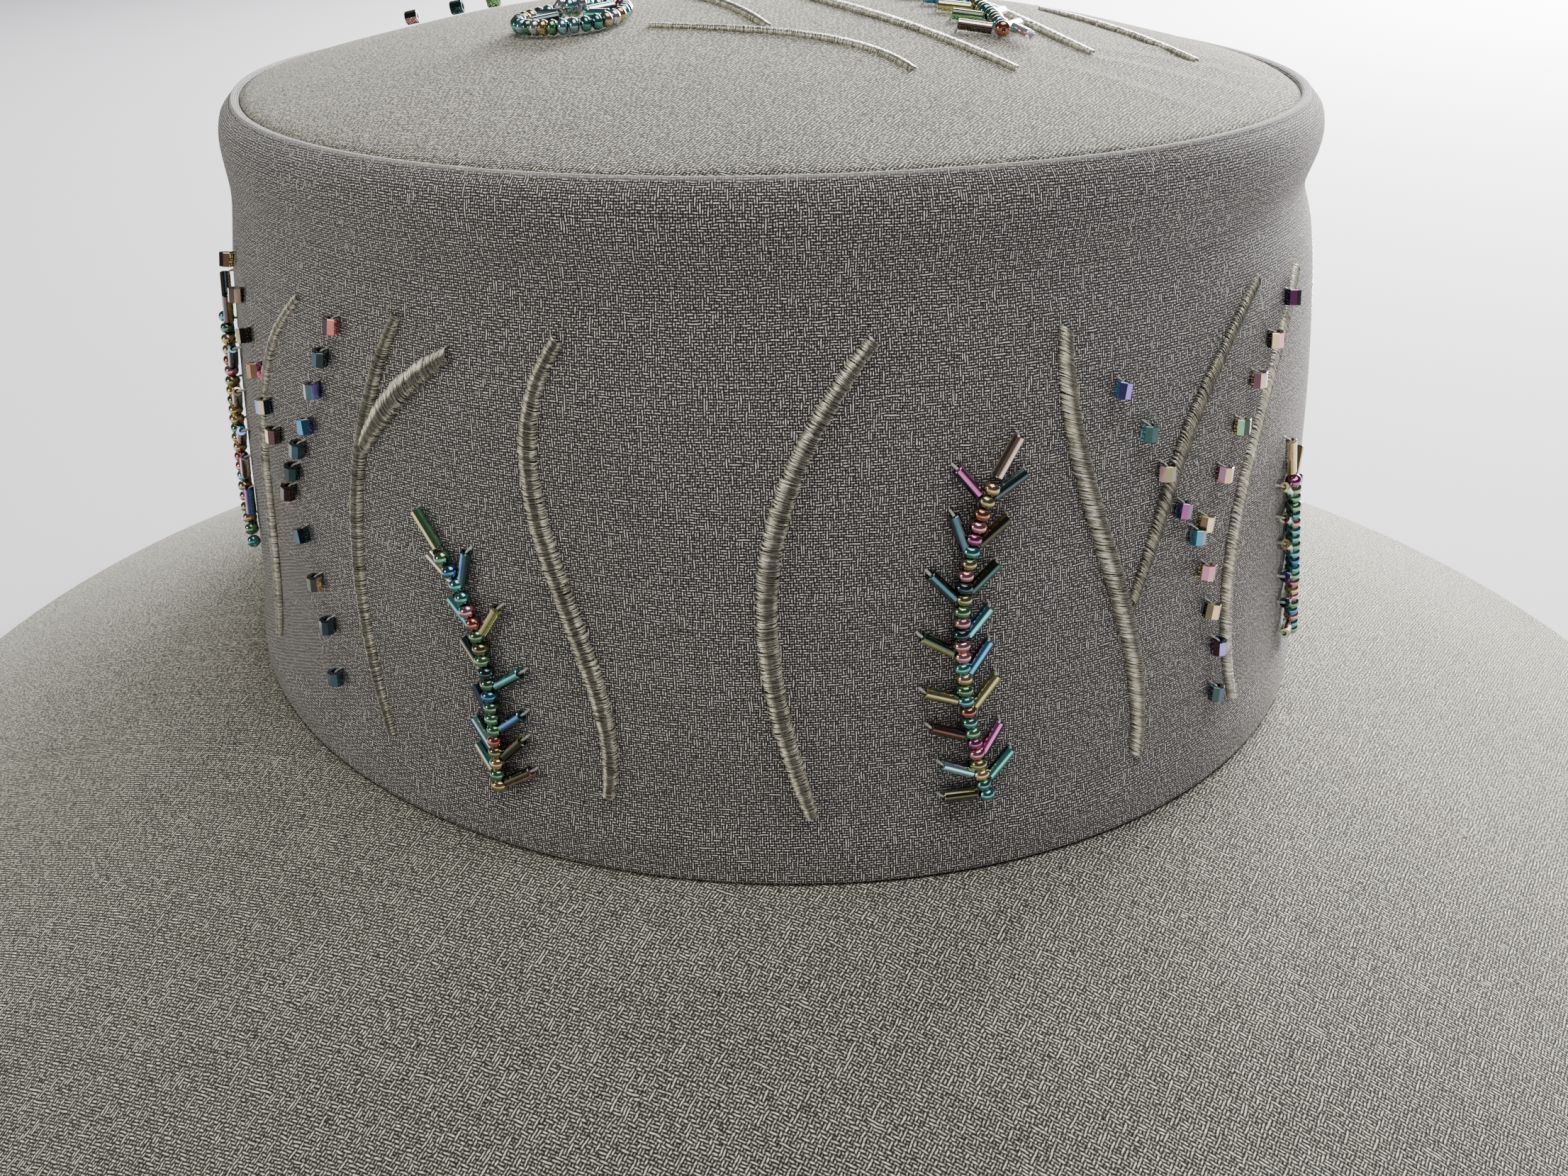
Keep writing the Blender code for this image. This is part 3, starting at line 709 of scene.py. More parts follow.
class Socket:
    """A socket of a material that takes part in sums: an operator on values adds its Math node."""

    def __init__(self, tree, link=None):
        self.tree = tree
        self.link = link

    def node(self, kind, settings=None, values=None, out=0):
        """Add a node, with its settings first and then the numbers or links of its sockets."""
        node = self.tree.nodes.new(kind)
        for key, value in (settings or {}).items():
            setattr(node, key, value)
        for key, value in (values or {}).items():
            if isinstance(value, Socket):
                self.tree.links.new(value.link, node.inputs[key])
            else:
                node.inputs[key].default_value = value
        return Socket(self.tree, node.outputs[out])

    def math(self, operation, *values):
        return self.node("ShaderNodeMath", {"operation": operation}, dict(enumerate(values)))

    def mix(self, factor, first, second):
        """A colour between two colours."""
        return self.node("ShaderNodeMix", {"data_type": "RGBA"}, {0: factor, 6: first, 7: second}, 2)

    def scale(self, vector, amount):
        """A colour or vector times an amount."""
        return self.node("ShaderNodeVectorMath", {"operation": "SCALE"}, {0: vector, "Scale": amount})

    def noise(self, place, scale, detail, out=0):
        return self.node("ShaderNodeTexNoise", values={
            "Vector": place, "Scale": scale, "Detail": detail}, out=out)

    def __add__(self, other):
        return self.math("ADD", self, other)

    def __radd__(self, other):
        return self.math("ADD", other, self)

    def __sub__(self, other):
        return self.math("SUBTRACT", self, other)

    def __rsub__(self, other):
        return self.math("SUBTRACT", other, self)

    def __mul__(self, other):
        return self.math("MULTIPLY", self, other)

    def __rmul__(self, other):
        return self.math("MULTIPLY", other, self)

    def __pow__(self, other):
        return self.math("POWER", self, other)

    def __abs__(self):
        return self.math("ABSOLUTE", self)


def new_material(name, fixed):
    """A material whose shader has some sockets fixed; returns it, its shader and a socket to start from."""
    material = bpy.data.materials.new(name)
    material.use_nodes = True
    shader = material.node_tree.nodes["Principled BSDF"]
    for key, value in fixed.items():
        shader.inputs[key].default_value = value
    return material, shader, Socket(material.node_tree)


def feed(shader, values):
    for key, value in values.items():
        value.tree.links.new(value.link, shader.inputs[key])


def opaque(colour):
    return (*colour, 1.0)


def crepe_height(start, place, pitch):
    """Height of the crepe weave: each weft yarn passes over two and under two, shifted unevenly by row, and
    one crossing in nine is turned over."""
    cells = start.scale(place, 1.0 / pitch)
    x = start.node("ShaderNodeSeparateXYZ", values={0: cells})
    y = Socket(start.tree, x.link.node.outputs["Y"])
    column = start.math("FLOOR", x)
    row = start.math("FLOOR", y)
    x_in = x - column - 0.5
    y_in = y - row - 0.5

    def weft_over(at_column, at_row):
        spot = start.node("ShaderNodeCombineXYZ", values={0: at_column, 1: at_row})
        draw = start.node("ShaderNodeTexWhiteNoise", {"noise_dimensions": "2D"}, {"Vector": spot})
        row_draw = start.node("ShaderNodeTexWhiteNoise", {"noise_dimensions": "1D"}, {"W": at_row})
        shift = start.math("FLOOR", 1.5 * at_row + 1.2 * row_draw)
        floats = start.math("LESS_THAN", start.math("FLOORED_MODULO", at_column + shift, 4.0), 1.5)
        return abs(floats - start.math("GREATER_THAN", draw, 0.89))

    here = weft_over(column, row)
    beside = weft_over(column + start.math("SIGN", x_in), row)
    above = weft_over(column, row + start.math("SIGN", y_in))
    weft_lift = here + (beside - here) * abs(x_in)
    warp_lift = 1.0 - here + (here - above) * abs(y_in)
    weft = (0.98 - 4.0 * y_in * y_in) * (0.2 + 0.8 * weft_lift)
    lean = x_in + 0.14 * y_in
    warp = (1.0 - 4.0 * lean * lean) * (0.2 + 0.8 * warp_lift)
    return start.math("MAXIMUM", weft, warp)


def crepe_material(name, cloth, on_band):
    """Wool crepe; the band's grain follows its own map, and the brim's and tip's lies flat in plan."""
    sheen, painted_shade_falloff, depth = BAND_LOOK if on_band else FLAT_LOOK
    material, shader, start = new_material(name, {
        "Roughness": 0.92,
        "Specular IOR Level": 0.25,
        "Sheen Weight": sheen,
        "Sheen Roughness": 0.5,
    })
    pitch = cloth.yarn_pitch
    if on_band:
        place = start.node("ShaderNodeUVMap", {"uv_map": "Grain"})
    else:
        pitch *= cloth.plan_pitch_share
        spot = start.node("ShaderNodeTexCoord", out="Object")
        place = start.node("ShaderNodeMapping", values={0: spot, "Rotation": (0.0, 0.0, cloth.plan_grain)})
    wander = start.noise(place, 420.0, 2.0, out="Color")
    sway = start.node("ShaderNodeVectorMath", {"operation": "MULTIPLY_ADD"}, {
        0: wander, 1: (pitch * 1.3,) * 3, 2: place})
    height = crepe_height(start, sway, pitch)
    blotch = start.noise(place, 55.0, 3.0)
    grain = start.noise(place, 2200.0, 2.0)
    painted_pebble_shade = start.noise(place, 1500.0, 1.0)
    # Painted light: by its height, each yarn is painted bright at its top as a painted highlight and dark
    # towards the gaps as painted shade; the grain makes some yarns brighter than others at random
    light = height ** painted_shade_falloff * (4.0 * grain - 0.95)
    gap, yarn = cloth.plan_gap_painted_shade_colour, cloth.plan_yarn_tint_and_painted_highlight
    if on_band:
        gap, yarn = cloth.gap_painted_shade_colour, cloth.yarn_tint_and_painted_highlight
        # Along the folded edge, the weave's painted highlight and painted shade are evened out towards a
        # middle tone
        fold = start.node("ShaderNodeAttribute", {"attribute_name": "Fold"}, out="Fac")
        light = light + (0.55 - light) * fold * 0.55
    colour = start.mix(light, opaque(gap), opaque(yarn))
    # The blotches are the cloth's own uneven tone; the pebbles are painted shade of its pebbled relief
    tone = (0.88 + 0.24 * blotch) * (1.0 - 0.5 * depth + depth * painted_pebble_shade)
    bump = start.node("ShaderNodeBump", values={
        "Height": height, "Distance": cloth.yarn_relief, "Strength": 1.0})
    feed(shader, {"Base Color": start.scale(colour, tone), "Normal": bump})
    return material


def thread_material(name, thread, lightness):
    """Satin thread with a silky gloss; each stitch brings its own random tone and painted highlights."""
    material, shader, start = new_material(name, {
        "Roughness": 0.34,
        "Metallic": 0.7,
        "Specular IOR Level": 1.0,
    })
    place = start.node("ShaderNodeTexCoord", out="Object")
    shade = start.node("ShaderNodeAttribute", {"attribute_name": "Shade"}, out="Fac")
    fibre = start.noise(place, 3800.0, 2.0)
    tint = start.scale(tuple(thread.thread_colour), shade * (0.5 + fibre) * lightness)
    bump = start.node("ShaderNodeBump", values={"Height": fibre, "Distance": 0.00006, "Strength": 0.8})
    feed(shader, {"Base Color": tint, "Normal": bump})
    return material


def bead_material():
    """Glass with a metallic iris coat; each face brings its own colour, painted darker towards the rims as
    painted shade.
    """
    material, shader, start = new_material("iris_bead", {
        "Metallic": 1.0,
        "Roughness": 0.16,
        "Coat Weight": 1.0,
        "Coat Roughness": 0.03,
    })
    coat = start.node("ShaderNodeVertexColor", {"layer_name": "Iris"})
    cloud = start.noise(start.node("ShaderNodeTexCoord", out="Object"), 900.0, 2.0)
    facing = start.node("ShaderNodeLayerWeight", values={"Blend": 0.4}, out="Facing")
    turned = start.node("ShaderNodeHueSaturation", values={
        "Hue": 0.46 + 0.12 * facing, "Saturation": 0.95, "Value": 1.0, "Fac": 1.0, "Color": coat})
    # The colour is painted darker where the surface turns from view, as painted shade at the rims; its hue
    # turns with the angle as an iris coat's does
    feed(shader, {"Base Color": start.scale(turned, (0.8 + 0.5 * cloud) * (1.3 - facing))})
    return material


def crystal_material():
    """Clear glass with a violet cast."""
    material, shader, start = new_material("clear_crystal", {
        "Roughness": 0.05,
        "Transmission Weight": 0.85,
        "IOR": 1.5,
        "Coat Weight": 1.0,
    })
    coat = start.node("ShaderNodeVertexColor", {"layer_name": "Iris"})
    feed(shader, {"Base Color": start.mix(0.75, coat, (0.95, 0.93, 1.0, 1.0))})
    return material


def nylon_material():
    """Beading thread, pale and dark by turns."""
    material, shader, start = new_material("beading_thread", {
        "Roughness": 0.3,
        "Specular IOR Level": 0.6,
    })
    fibre = start.noise(start.node("ShaderNodeTexCoord", out="Object"), 2600.0, 1.0)
    feed(shader, {"Base Color": start.mix(fibre, (0.10, 0.10, 0.09, 1.0), (0.75, 0.76, 0.72, 1.0))})
    return material


def start_ring(name, section_steps):
    """A closed ring of cloth, to be shaped; its points go round, and at each angle round the section."""
    bpy.ops.mesh.primitive_torus_add(
        major_segments=ROUND_STEPS, minor_segments=section_steps, major_radius=1.0, minor_radius=0.25)
    piece = name_new(name)
    bpy.ops.object.shade_smooth()
    return piece


def ring_angles(section_steps):
    angle = np.repeat(np.arange(ROUND_STEPS) * 360.0 / ROUND_STEPS, section_steps)
    return angle, np.tile(np.arange(section_steps), ROUND_STEPS)


def map_grain(piece, section_steps, girth, section_lengths):
    """A map in metres for a ring: across it round the crown, up it along the section."""
    grain = piece.data.uv_layers.new(name="Grain")
    total = section_lengths[-1]
    for face in piece.data.polygons:
        corners = [piece.data.loops[loop].vertex_index for loop in face.loop_indices]
        turns = [corner // section_steps for corner in corners]
        steps = [corner % section_steps for corner in corners]
        for loop, turn, step in zip(face.loop_indices, turns, steps):
            if turn == 0 and max(turns) == ROUND_STEPS - 1:
                turn = ROUND_STEPS
            length = total if step == 0 and max(steps) == section_steps - 1 else section_lengths[step]
            grain.data[loop].uv = (girth * turn / ROUND_STEPS, length)


def wall_ripple(angle, share):
    """Soft unevenness of the stiffened cloth."""
    turn = np.radians(angle)
    wave = (np.sin(7 * turn + 5 * share) + 0.8 * np.sin(11 * turn - 9 * share + 1.3)
            + 0.6 * np.sin(17 * turn + 14 * share + 2.1))
    size, middle, breadth = FOOT_ROLL
    foot_roll = size * bell(share, middle, breadth) * (1 + 0.35 * np.sin(9 * turn + 0.4))
    neck = -(NECK_DEPTH + NECK_LEFT_DEPTH * np.sin(turn)) * bell(share, *NECK_PLACE)
    size, middle, breadth = TOP_ROLL
    neck += size * bell(share, middle, breadth)
    return WALL_WAVE * wave * np.sin(math.pi * np.clip(share, 0, 1)) + foot_roll + neck


def seam_welt(share):
    """How full the folded edge of the wall is beside the seam, from 0 to 1."""
    return np.sin(math.pi * np.clip((share - WELT_FOOT) / (1.0 - WELT_FOOT), 0.0, 1.0))


def wall_section():
    """The wall's section, a row for each point: height share, step inwards, step up."""
    outside = (*np.linspace(0.02, 0.93, 62), 0.943, 0.955, 0.966, 0.975, 0.983, 0.989, 0.9925,
               *np.linspace(WELT_FOOT, 1.0, 9))
    rows = [(0.0, 0.0, 0.00055), (0.0, 0.0, 0.0010)]
    rows += [(share, 0.0, 0.0) for share in outside]
    rows += [(1.0, 0.0002, -0.0002), (1.0, 0.0003, -0.0018), (0.965, CROWN_WALL, -0.0004)]
    rows += [(share, CROWN_WALL, 0.0) for share in np.linspace(0.94, 0.02, 30)]
    rows += [(0.0, CROWN_WALL, 0.0006), (0.0, 0.0015, 0.0001), (0.0, 0.0010, 0.0)]
    rows += [(0.0, 0.0005, 0.00005), (0.0, 0.00018, 0.00022)]
    return np.array(rows)


def build_side(cloth):
    """The side band, whose folded edge stands up a little beside the seam."""
    section = wall_section()
    steps = len(section)
    piece = start_ring("crown_side_cloth", steps)
    angle, row = ring_angles(steps)
    share, inwards, up = section[row].T
    points = wall_point(angle, share, wall_ripple(angle, share) * (share < AT_SEAM) - inwards)
    points[:, 2] += up
    welt = seam_welt(share) * (inwards == 0.0)
    points += wall_normal(angle, np.minimum(share, 0.998)) * (WELT_HEIGHT * welt)[:, None]
    fold = piece.data.attributes.new("Fold", "FLOAT", "POINT")
    fold.data.foreach_set("value", welt ** 0.5)
    set_points(piece, points)
    strides = np.diff(np.vstack((points[:steps], points[:1])), axis=0)
    lengths = np.concatenate(([0.0], np.cumsum(np.linalg.norm(strides, axis=1))))
    girth = 2 * math.pi * math.sqrt((CROWN_HALF_WIDTH ** 2 + CROWN_HALF_LENGTH ** 2) / 2)
    map_grain(piece, steps, girth, lengths)
    finish_piece(piece, crepe_material("band_crepe", cloth, True))
    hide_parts("crown_side")


def brim_level(share):
    return BRIM_TOP - BRIM_DROP * float(brim_fall(share))


def rim_row(turn):
    """A row of the brim's section on its half-round edge, turned up from the outermost point by degrees."""
    swing = math.radians(turn)
    return 1.0, BRIM_WALL / 2 * (math.cos(swing) - 1), BRIM_WALL / 2 * (1 + math.sin(swing))


def brim_section():
    """The brim's section, a row for each point: share of the reach, step outwards, height."""
    rows = [rim_row(turn) for turn in np.linspace(0.0, 80.0, 6)]
    rows += [(share, 0.0, brim_level(share)) for share in (*np.linspace(0.985, 0.05, 58), 0.03, 0.015, 0.0)]
    rows += [(0.0, -BRIM_LEDGE, BRIM_TOP), (0.0, -BRIM_LEDGE, BRIM_TOP - BRIM_WALL)]
    step = 0.01
    run = step * (BRIM_REACH_SIDE + BRIM_REACH_FRONT)
    for share in np.linspace(0.0, 0.965, 40):
        fall = BRIM_DROP * float(brim_fall(share + step) - brim_fall(share - step))
        size = math.hypot(run, fall)
        height = brim_level(share) - BRIM_WALL * run / size
        rows.append((share, -BRIM_WALL * fall / size, max(height, BRIM_FLOOR_GAP)))
    rows.append((1.0, -REST_WIDTH, 0.0))
    rows += [rim_row(turn) for turn in (-80.0, -50.0, -22.0)]
    return np.array(rows)


def brim_ripple(angle, share):
    turn = np.radians(angle)
    wave = (np.sin(5 * turn + 0.7) + 0.7 * np.sin(8 * turn + 2.0 + 3 * share)
            + 0.4 * np.sin(13 * turn - 5 * share))
    return BRIM_WAVE * wave * np.sin(math.pi * np.clip(share, 0.0, 1.0)) ** 2


def build_brim(cloth):
    section = brim_section()
    steps = len(section)
    piece = start_ring("brim_cloth", steps)
    angle, row = ring_angles(steps)
    share, out, height = section[row].T
    x, y = oval(angle, CROWN_HALF_WIDTH + BRIM_REACH_SIDE * share + out,
                CROWN_HALF_LENGTH + BRIM_REACH_FRONT * share + out, FOOT_FULLNESS)
    set_points(piece, np.stack((x, y, height + brim_ripple(angle, share)), axis=-1))
    finish_piece(piece, crepe_material("brim_crepe", cloth, False))
    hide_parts("brim")


def tip_ripple(x, y):
    """Faint folds that run from the embroidery to the seam, and soft unevenness."""
    lift = TIP_WAVE * (np.sin(x * 95 + 1) * np.sin(y * 80) + np.sin(x * 170 - y * 130))
    for x_low, y_low, x_high, y_high, height, width in TIP_FOLDS:
        run = np.array((x_high - x_low, y_high - y_low))
        length = np.hypot(*run)
        along = ((x - x_low) * run[0] + (y - y_low) * run[1]) / length ** 2
        aside = ((x - x_low) * -run[1] + (y - y_low) * run[0]) / length
        fade = np.clip(along, 0, 1) * np.clip(1.25 - along, 0, 1) * 2.2
        lift = lift + height * fade * (bell(aside, 0.0, width) - 0.5 * bell(aside, 2 * width, width))
    return lift * np.clip(1.0 - tip_share(x, y) ** 12, 0, 1)


def build_tip(cloth):
    """The tip: a ball whose upper rings are laid over the dome, the next down the rim, the rest under it."""
    bpy.ops.mesh.primitive_uv_sphere_add(segments=ROUND_STEPS, ring_count=TIP_RINGS, radius=1.0)
    piece = name_new("crown_tip_cloth")
    bpy.ops.object.shade_smooth()
    start = get_points(piece)
    angle = np.degrees(np.arctan2(start[:, 0], -start[:, 1]))
    ring = np.rint(np.arccos(np.clip(start[:, 2], -1, 1)) / math.pi * TIP_RINGS).astype(int)
    share = np.where(ring <= TIP_UPPER_RINGS, ring / TIP_UPPER_RINGS, 1.0)
    inwards = np.zeros(len(ring))
    drop = np.zeros(len(ring))
    for step, (rim_in, rim_drop) in enumerate(TIP_RIM_ROWS):
        here = ring == TIP_UPPER_RINGS + 1 + step
        inwards[here] = rim_in
        drop[here] = rim_drop
    rim_end = TIP_UPPER_RINGS + len(TIP_RIM_ROWS)
    under = ring > rim_end
    share[under] = (TIP_RINGS - ring[under]) / (TIP_RINGS - rim_end) * 0.985
    drop[under] = CROWN_WALL
    edge = wall_point(angle, 1.0, -SEAM_GAP - inwards)
    x, y = edge[:, 0] * share, edge[:, 1] * share
    dip = TIP_EDGE_DIP + TIP_LEFT_DIP * np.clip(np.sin(np.radians(angle)), 0, 1) ** 2
    sink = dip * np.clip((tip_share(x, y) - 0.965) / 0.03, 0, 1) ** 2
    z = tip_height(x, y) - drop - sink + tip_ripple(x, y)
    set_points(piece, np.stack((x, y, z), axis=-1))
    finish_piece(piece, crepe_material("tip_crepe", cloth, False))
    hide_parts("crown_tip")


def stem_fullness(share):
    """A stem is fullest at its middle and narrow at both ends."""
    swell = np.sin(math.pi * np.clip(share, 0.0, 1.0)) ** STEM_BLUNTNESS
    return STEM_END_SHARE + (1.0 - STEM_END_SHARE) * swell


def cut_to_bend(along, bends):
    """Cut the picked piece across a direction at each bend, and make it look round."""
    bpy.ops.object.transform_apply(location=True, rotation=True, scale=True)
    bpy.ops.object.mode_set(mode="EDIT")
    for bend in bends:
        bpy.ops.mesh.select_all(action="SELECT")
        bpy.ops.mesh.bisect(plane_co=Vector(along) * bend, plane_no=along)
    bpy.ops.object.mode_set(mode="OBJECT")
    bpy.ops.object.shade_smooth()


def model_thread(name, width, bends):
    """A thread along Y from -1 to 1, cut into lengths so that it can bend."""
    bpy.ops.mesh.primitive_cylinder_add(
        vertices=4, radius=width / 2, depth=2.0, rotation=(math.pi / 2, 0.0, 0.0))
    piece = name_new(name)
    cut_to_bend((0.0, 1.0, 0.0), bends)
    return piece


def build_stitches(thread, material, name, place, width_share, turn, rise_share, rng):
    """Satin stitches side by side over a stem, as one piece; each is painted with highlights on its left
    flank and at its right edge, where it turns down.
    """
    reach, arch = zip(*ARCH_ROWS)
    count = int(route_length(place) / thread.stitch_pitch)
    shares = (np.arange(count) + 0.5 + rng.uniform(-0.25, 0.25, count)) / count
    point, along, across, normal = route_frames(place, shares, SEAM_GAP)
    run = turn_in(across, along, turn + rng.uniform(-7.0, 7.0, count))
    cover = np.clip(np.abs((run * across).sum(axis=1)), 0.5, 1.0)
    fullness = stem_fullness(shares)
    half_width = STEM_WIDTH / 2 * thread.spread * width_share * fullness + thread.thread_width * 0.3
    half_width = half_width / cover * rng.uniform(0.88, 1.12, count)
    height = STEM_HEIGHT * rise_share * np.sqrt(fullness) * rng.uniform(0.88, 1.12, count)
    slide = run * half_width[:, None] * rng.uniform(-0.08, 0.08, (count, 1))
    piece = model_thread(name + "_stitches", thread.thread_width, reach[1:-1])
    pattern = get_points(piece)
    stack_copies(piece, count)
    side = unit(np.cross(normal, run))
    level = np.interp(pattern[:, 1], reach, arch)
    rise = level[None, :, None] * height[:, None, None] + pattern[None, :, 2:3]
    laid = ((point + slide)[:, None, :]
            + pattern[None, :, 0:1] * side[:, None, :]
            + pattern[None, :, 1:2] * (half_width[:, None] * run)[:, None, :]
            + rise * normal[:, None, :])
    set_points(piece, laid)
    # Painted highlights of each stitch: a bright band on its left flank and a bright right edge
    left_flank_highlight = np.clip(1.0 - np.abs(pattern[:, 1] + 0.72) / 0.55, 0.0, 1.0)
    right_edge_highlight = np.clip((pattern[:, 1] - 0.6) / 0.3, 0.0, 1.0)
    # Each stem's painted light or shade, times a random tone for each stitch
    painted_light_and_tone = STEM_PAINTED_LIGHT.get(name, 1.0) * rng.uniform(0.45, 1.35, (count, 1))
    shade = painted_light_and_tone * (STITCH_SHADE + LEFT_FLANK_PAINTED_HIGHLIGHT * left_flank_highlight + RIGHT_EDGE_PAINTED_HIGHLIGHT * right_edge_highlight)[None, :]
    attribute = piece.data.attributes.new("Shade", "FLOAT", "POINT")
    attribute.data.foreach_set("value", shade.reshape(-1))
    finish_piece(piece, material)
    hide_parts(name)


def model_bead(name, sides, diameter, length, rounding, rounds, hole):
    """A drilled bead along Z with its edges broken or rounded."""
    bpy.ops.mesh.primitive_cylinder_add(vertices=sides, radius=diameter / 2, depth=length)
    piece = name_new(name)
    bpy.ops.object.mode_set(mode="EDIT")
    pick_edges(piece, lambda edge: abs(edge.verts[0].co.z - edge.verts[1].co.z) < length / 9)
    bpy.ops.mesh.bevel(offset=rounding, segments=rounds, profile=0.5, affect="EDGES")
    pick_faces(piece, lambda face: abs(face.normal.z) > 0.99)
    bpy.ops.mesh.inset(thickness=diameter / 2 - rounding - hole)
    bpy.ops.mesh.inset(thickness=hole * 0.06, depth=-length * 0.22)
    bpy.ops.object.mode_set(mode="OBJECT")
    return piece


def colour_beads(piece, copies, tints):
    """Give each face of each copy its colour; tints holds a row for each copy and a column for each side."""
    per_copy = len(piece.data.polygons) // copies
    sides = tints.shape[1]
    iris = piece.data.attributes.new("Iris", "FLOAT_COLOR", "CORNER")
    normals = np.empty(len(piece.data.polygons) * 3)
    piece.data.polygons.foreach_get("normal", normals)
    first = normals.reshape(-1, 3)[:per_copy]
    turn = np.degrees(np.arctan2(first[:, 1], first[:, 0])) % 360.0
    side = (turn / 360.0 * sides).astype(int) % sides
    corners = np.array([face.loop_total for face in piece.data.polygons])
    face_colours = tints[:, side, :].reshape(-1, 3)
    colours = np.repeat(face_colours, corners, axis=0)
    flat = np.concatenate((colours, np.ones((len(colours), 1))), axis=1)
    iris.data.foreach_set("color", flat.reshape(-1))


def pick_letter(letters, rng):
    return letters[rng.integers(len(letters))]


def plain_tints(letters, rng):
    """One colour for each bead, a little uneven."""
    colours = np.array([IRIS[letter] for letter in letters])
    return (colours * rng.uniform(0.75, 1.25, (len(colours), 1)))[:, None, :]


def banded_tints(letters, rng, sides):
    """For each bead, bands of its own coat and of those that show beside it, some painted nearly black as
    painted dark reflections and the rest as painted highlights.
    """
    rows = []
    for letter in letters:
        bands = []
        for _ in range(sides):
            chosen = letter if rng.random() < 0.5 else pick_letter(COMPANIONS[letter], rng)
            # Painted light: each band is a painted dark reflection or a painted highlight
            shade = rng.uniform(*PAINTED_DARK_BAND) if rng.random() < PAINTED_DARK_BAND_SHARE else rng.uniform(*PAINTED_HIGHLIGHT_BAND)
            bands.append(np.array(IRIS[chosen]) * shade)
        rows.append(bands)
    return np.array(rows)


def lay_beads(name, pattern, origins, sides, ups, aheads, tints):
    """Colour a bead's copies and lay them in their places."""
    piece = pattern(name)
    count = len(origins)
    shape = get_points(piece)
    stack_copies(piece, count)
    colour_beads(piece, count, tints)
    laid = (origins[:, None, :]
            + shape[None, :, 0:1] * sides[:, None, :]
            + shape[None, :, 1:2] * ups[:, None, :]
            + shape[None, :, 2:3] * aheads[:, None, :])
    set_points(piece, laid)
    return piece


def seed_pattern(beads):
    def model(name):
        piece = model_bead(
            name, SEED_SIDES, beads.seed_diameter, beads.seed_length, SEED_ROUNDING, 3, SEED_HOLE)
        bpy.ops.object.shade_smooth()
        return piece
    return model


def cut_pattern(diameter, length, sides, smooth_angle):
    """A cut bead; corners that turn by less than the smooth angle, in degrees, look round."""
    def model(name):
        piece = model_bead(name, sides, diameter, length, CUT_ROUNDING, 1, diameter * CUT_HOLE_SHARE)
        bpy.ops.object.shade_smooth_by_angle(angle=math.radians(smooth_angle))
        return piece
    return model


def bugle_pattern(beads):
    return cut_pattern(beads.bugle_diameter, beads.bugle_length, BUGLE_SIDES, 42)


def single_pattern(beads):
    return cut_pattern(beads.cut_diameter, beads.cut_length, CUT_SIDES, 20)


def single_height(beads):
    """How high the axis of a single cut bead lies over the cloth."""
    return beads.lift + beads.cut_diameter * 0.45


def model_beading_thread(name):
    """A short thread along Z from 0 to 1, cut into lengths so that it can bend."""
    bpy.ops.mesh.primitive_cylinder_add(
        vertices=5, radius=BEADING_WIDTH / 2, depth=1.0, location=(0.0, 0.0, 0.5))
    piece = name_new(name)
    cut_to_bend((0.0, 0.0, 1.0), (0.25, 0.5, 0.75))
    return piece


def turn_in(along, across, degrees):
    """A direction turned from along towards across."""
    swing = np.radians(degrees)[:, None]
    return along * np.cos(swing) + across * np.sin(swing)


def lay_threads(material, name, starts, aheads, normals, drop, reach):
    """Beading threads from the ends of beads, round a quarter bend, down into the cloth."""
    piece = model_beading_thread(name)
    pattern = get_points(piece)
    stack_copies(piece, len(starts))
    side = unit(np.cross(aheads, normals))
    bend = pattern[:, 2] * math.pi / 2
    steep = pattern[:, 2] > 0.6
    forward = np.sin(bend) * reach - pattern[:, 1] * steep
    down = (1 - np.cos(bend)) * drop - pattern[:, 1] * ~steep
    laid = (starts[:, None, :]
            + pattern[None, :, 0:1] * side[:, None, :]
            + forward[None, :, None] * aheads[:, None, :]
            - down[None, :, None] * normals[:, None, :])
    set_points(piece, laid)
    finish_piece(piece, material)


def spray_chart(name, rng):
    """Bugles of a spray, as columns: share of the spine, side, tilt in degrees, coat."""
    chart = BUGLE_CHARTS.get(name)
    if chart is None:
        chart = {}
        pairs = BUGLE_PAIRS[name]
        for side, shift in ((-1, LEFT_BUGLE_SHIFT), (1, RIGHT_BUGLE_SHIFT)):
            chart[side] = []
            for pair in range(pairs):
                tilt = BUGLE_TILT + rng.uniform(-BUGLE_STRAY, BUGLE_STRAY)
                chart[side].append(((pair + shift) / pairs, tilt, pick_letter(BUGLE_MIX, rng)))
        chart[0] = [HEAD_BUGLE]
    rows = [(share, side, tilt, coat) for side, bugles in chart.items() for share, tilt, coat in bugles]
    shares, sides, tilts, coats = zip(*rows)
    return np.array(shares), np.array(sides), np.array(tilts), coats


def build_spine(beads, name, place, rng):
    """The seed beads of a spray, strung along its route."""
    length = route_length(place)
    order = SEED_ORDERS.get(name)
    if order is None:
        order = [pick_letter(SEED_MIX, rng) for _ in range(int(length / (beads.seed_length + 0.00003)))]
    count = len(order)
    shares = (np.arange(count) + 0.5) / count
    point, along, across, normal = route_frames(place, shares, beads.lift + beads.seed_diameter / 2)
    point = point + across * rng.uniform(-SEED_STEP, SEED_STEP, (count, 1))
    along = unit(along + across * rng.uniform(-SEED_LEAN, SEED_LEAN, (count, 1)))
    across = unit(np.cross(along, normal))
    swell = rng.uniform(*SEED_SWELL, (count, 1))
    fit = length / count / beads.seed_length
    return lay_beads(
        name + "_seeds", seed_pattern(beads), point, across * swell, normal * swell, along * fit * 0.97,
        plain_tints(order, rng))


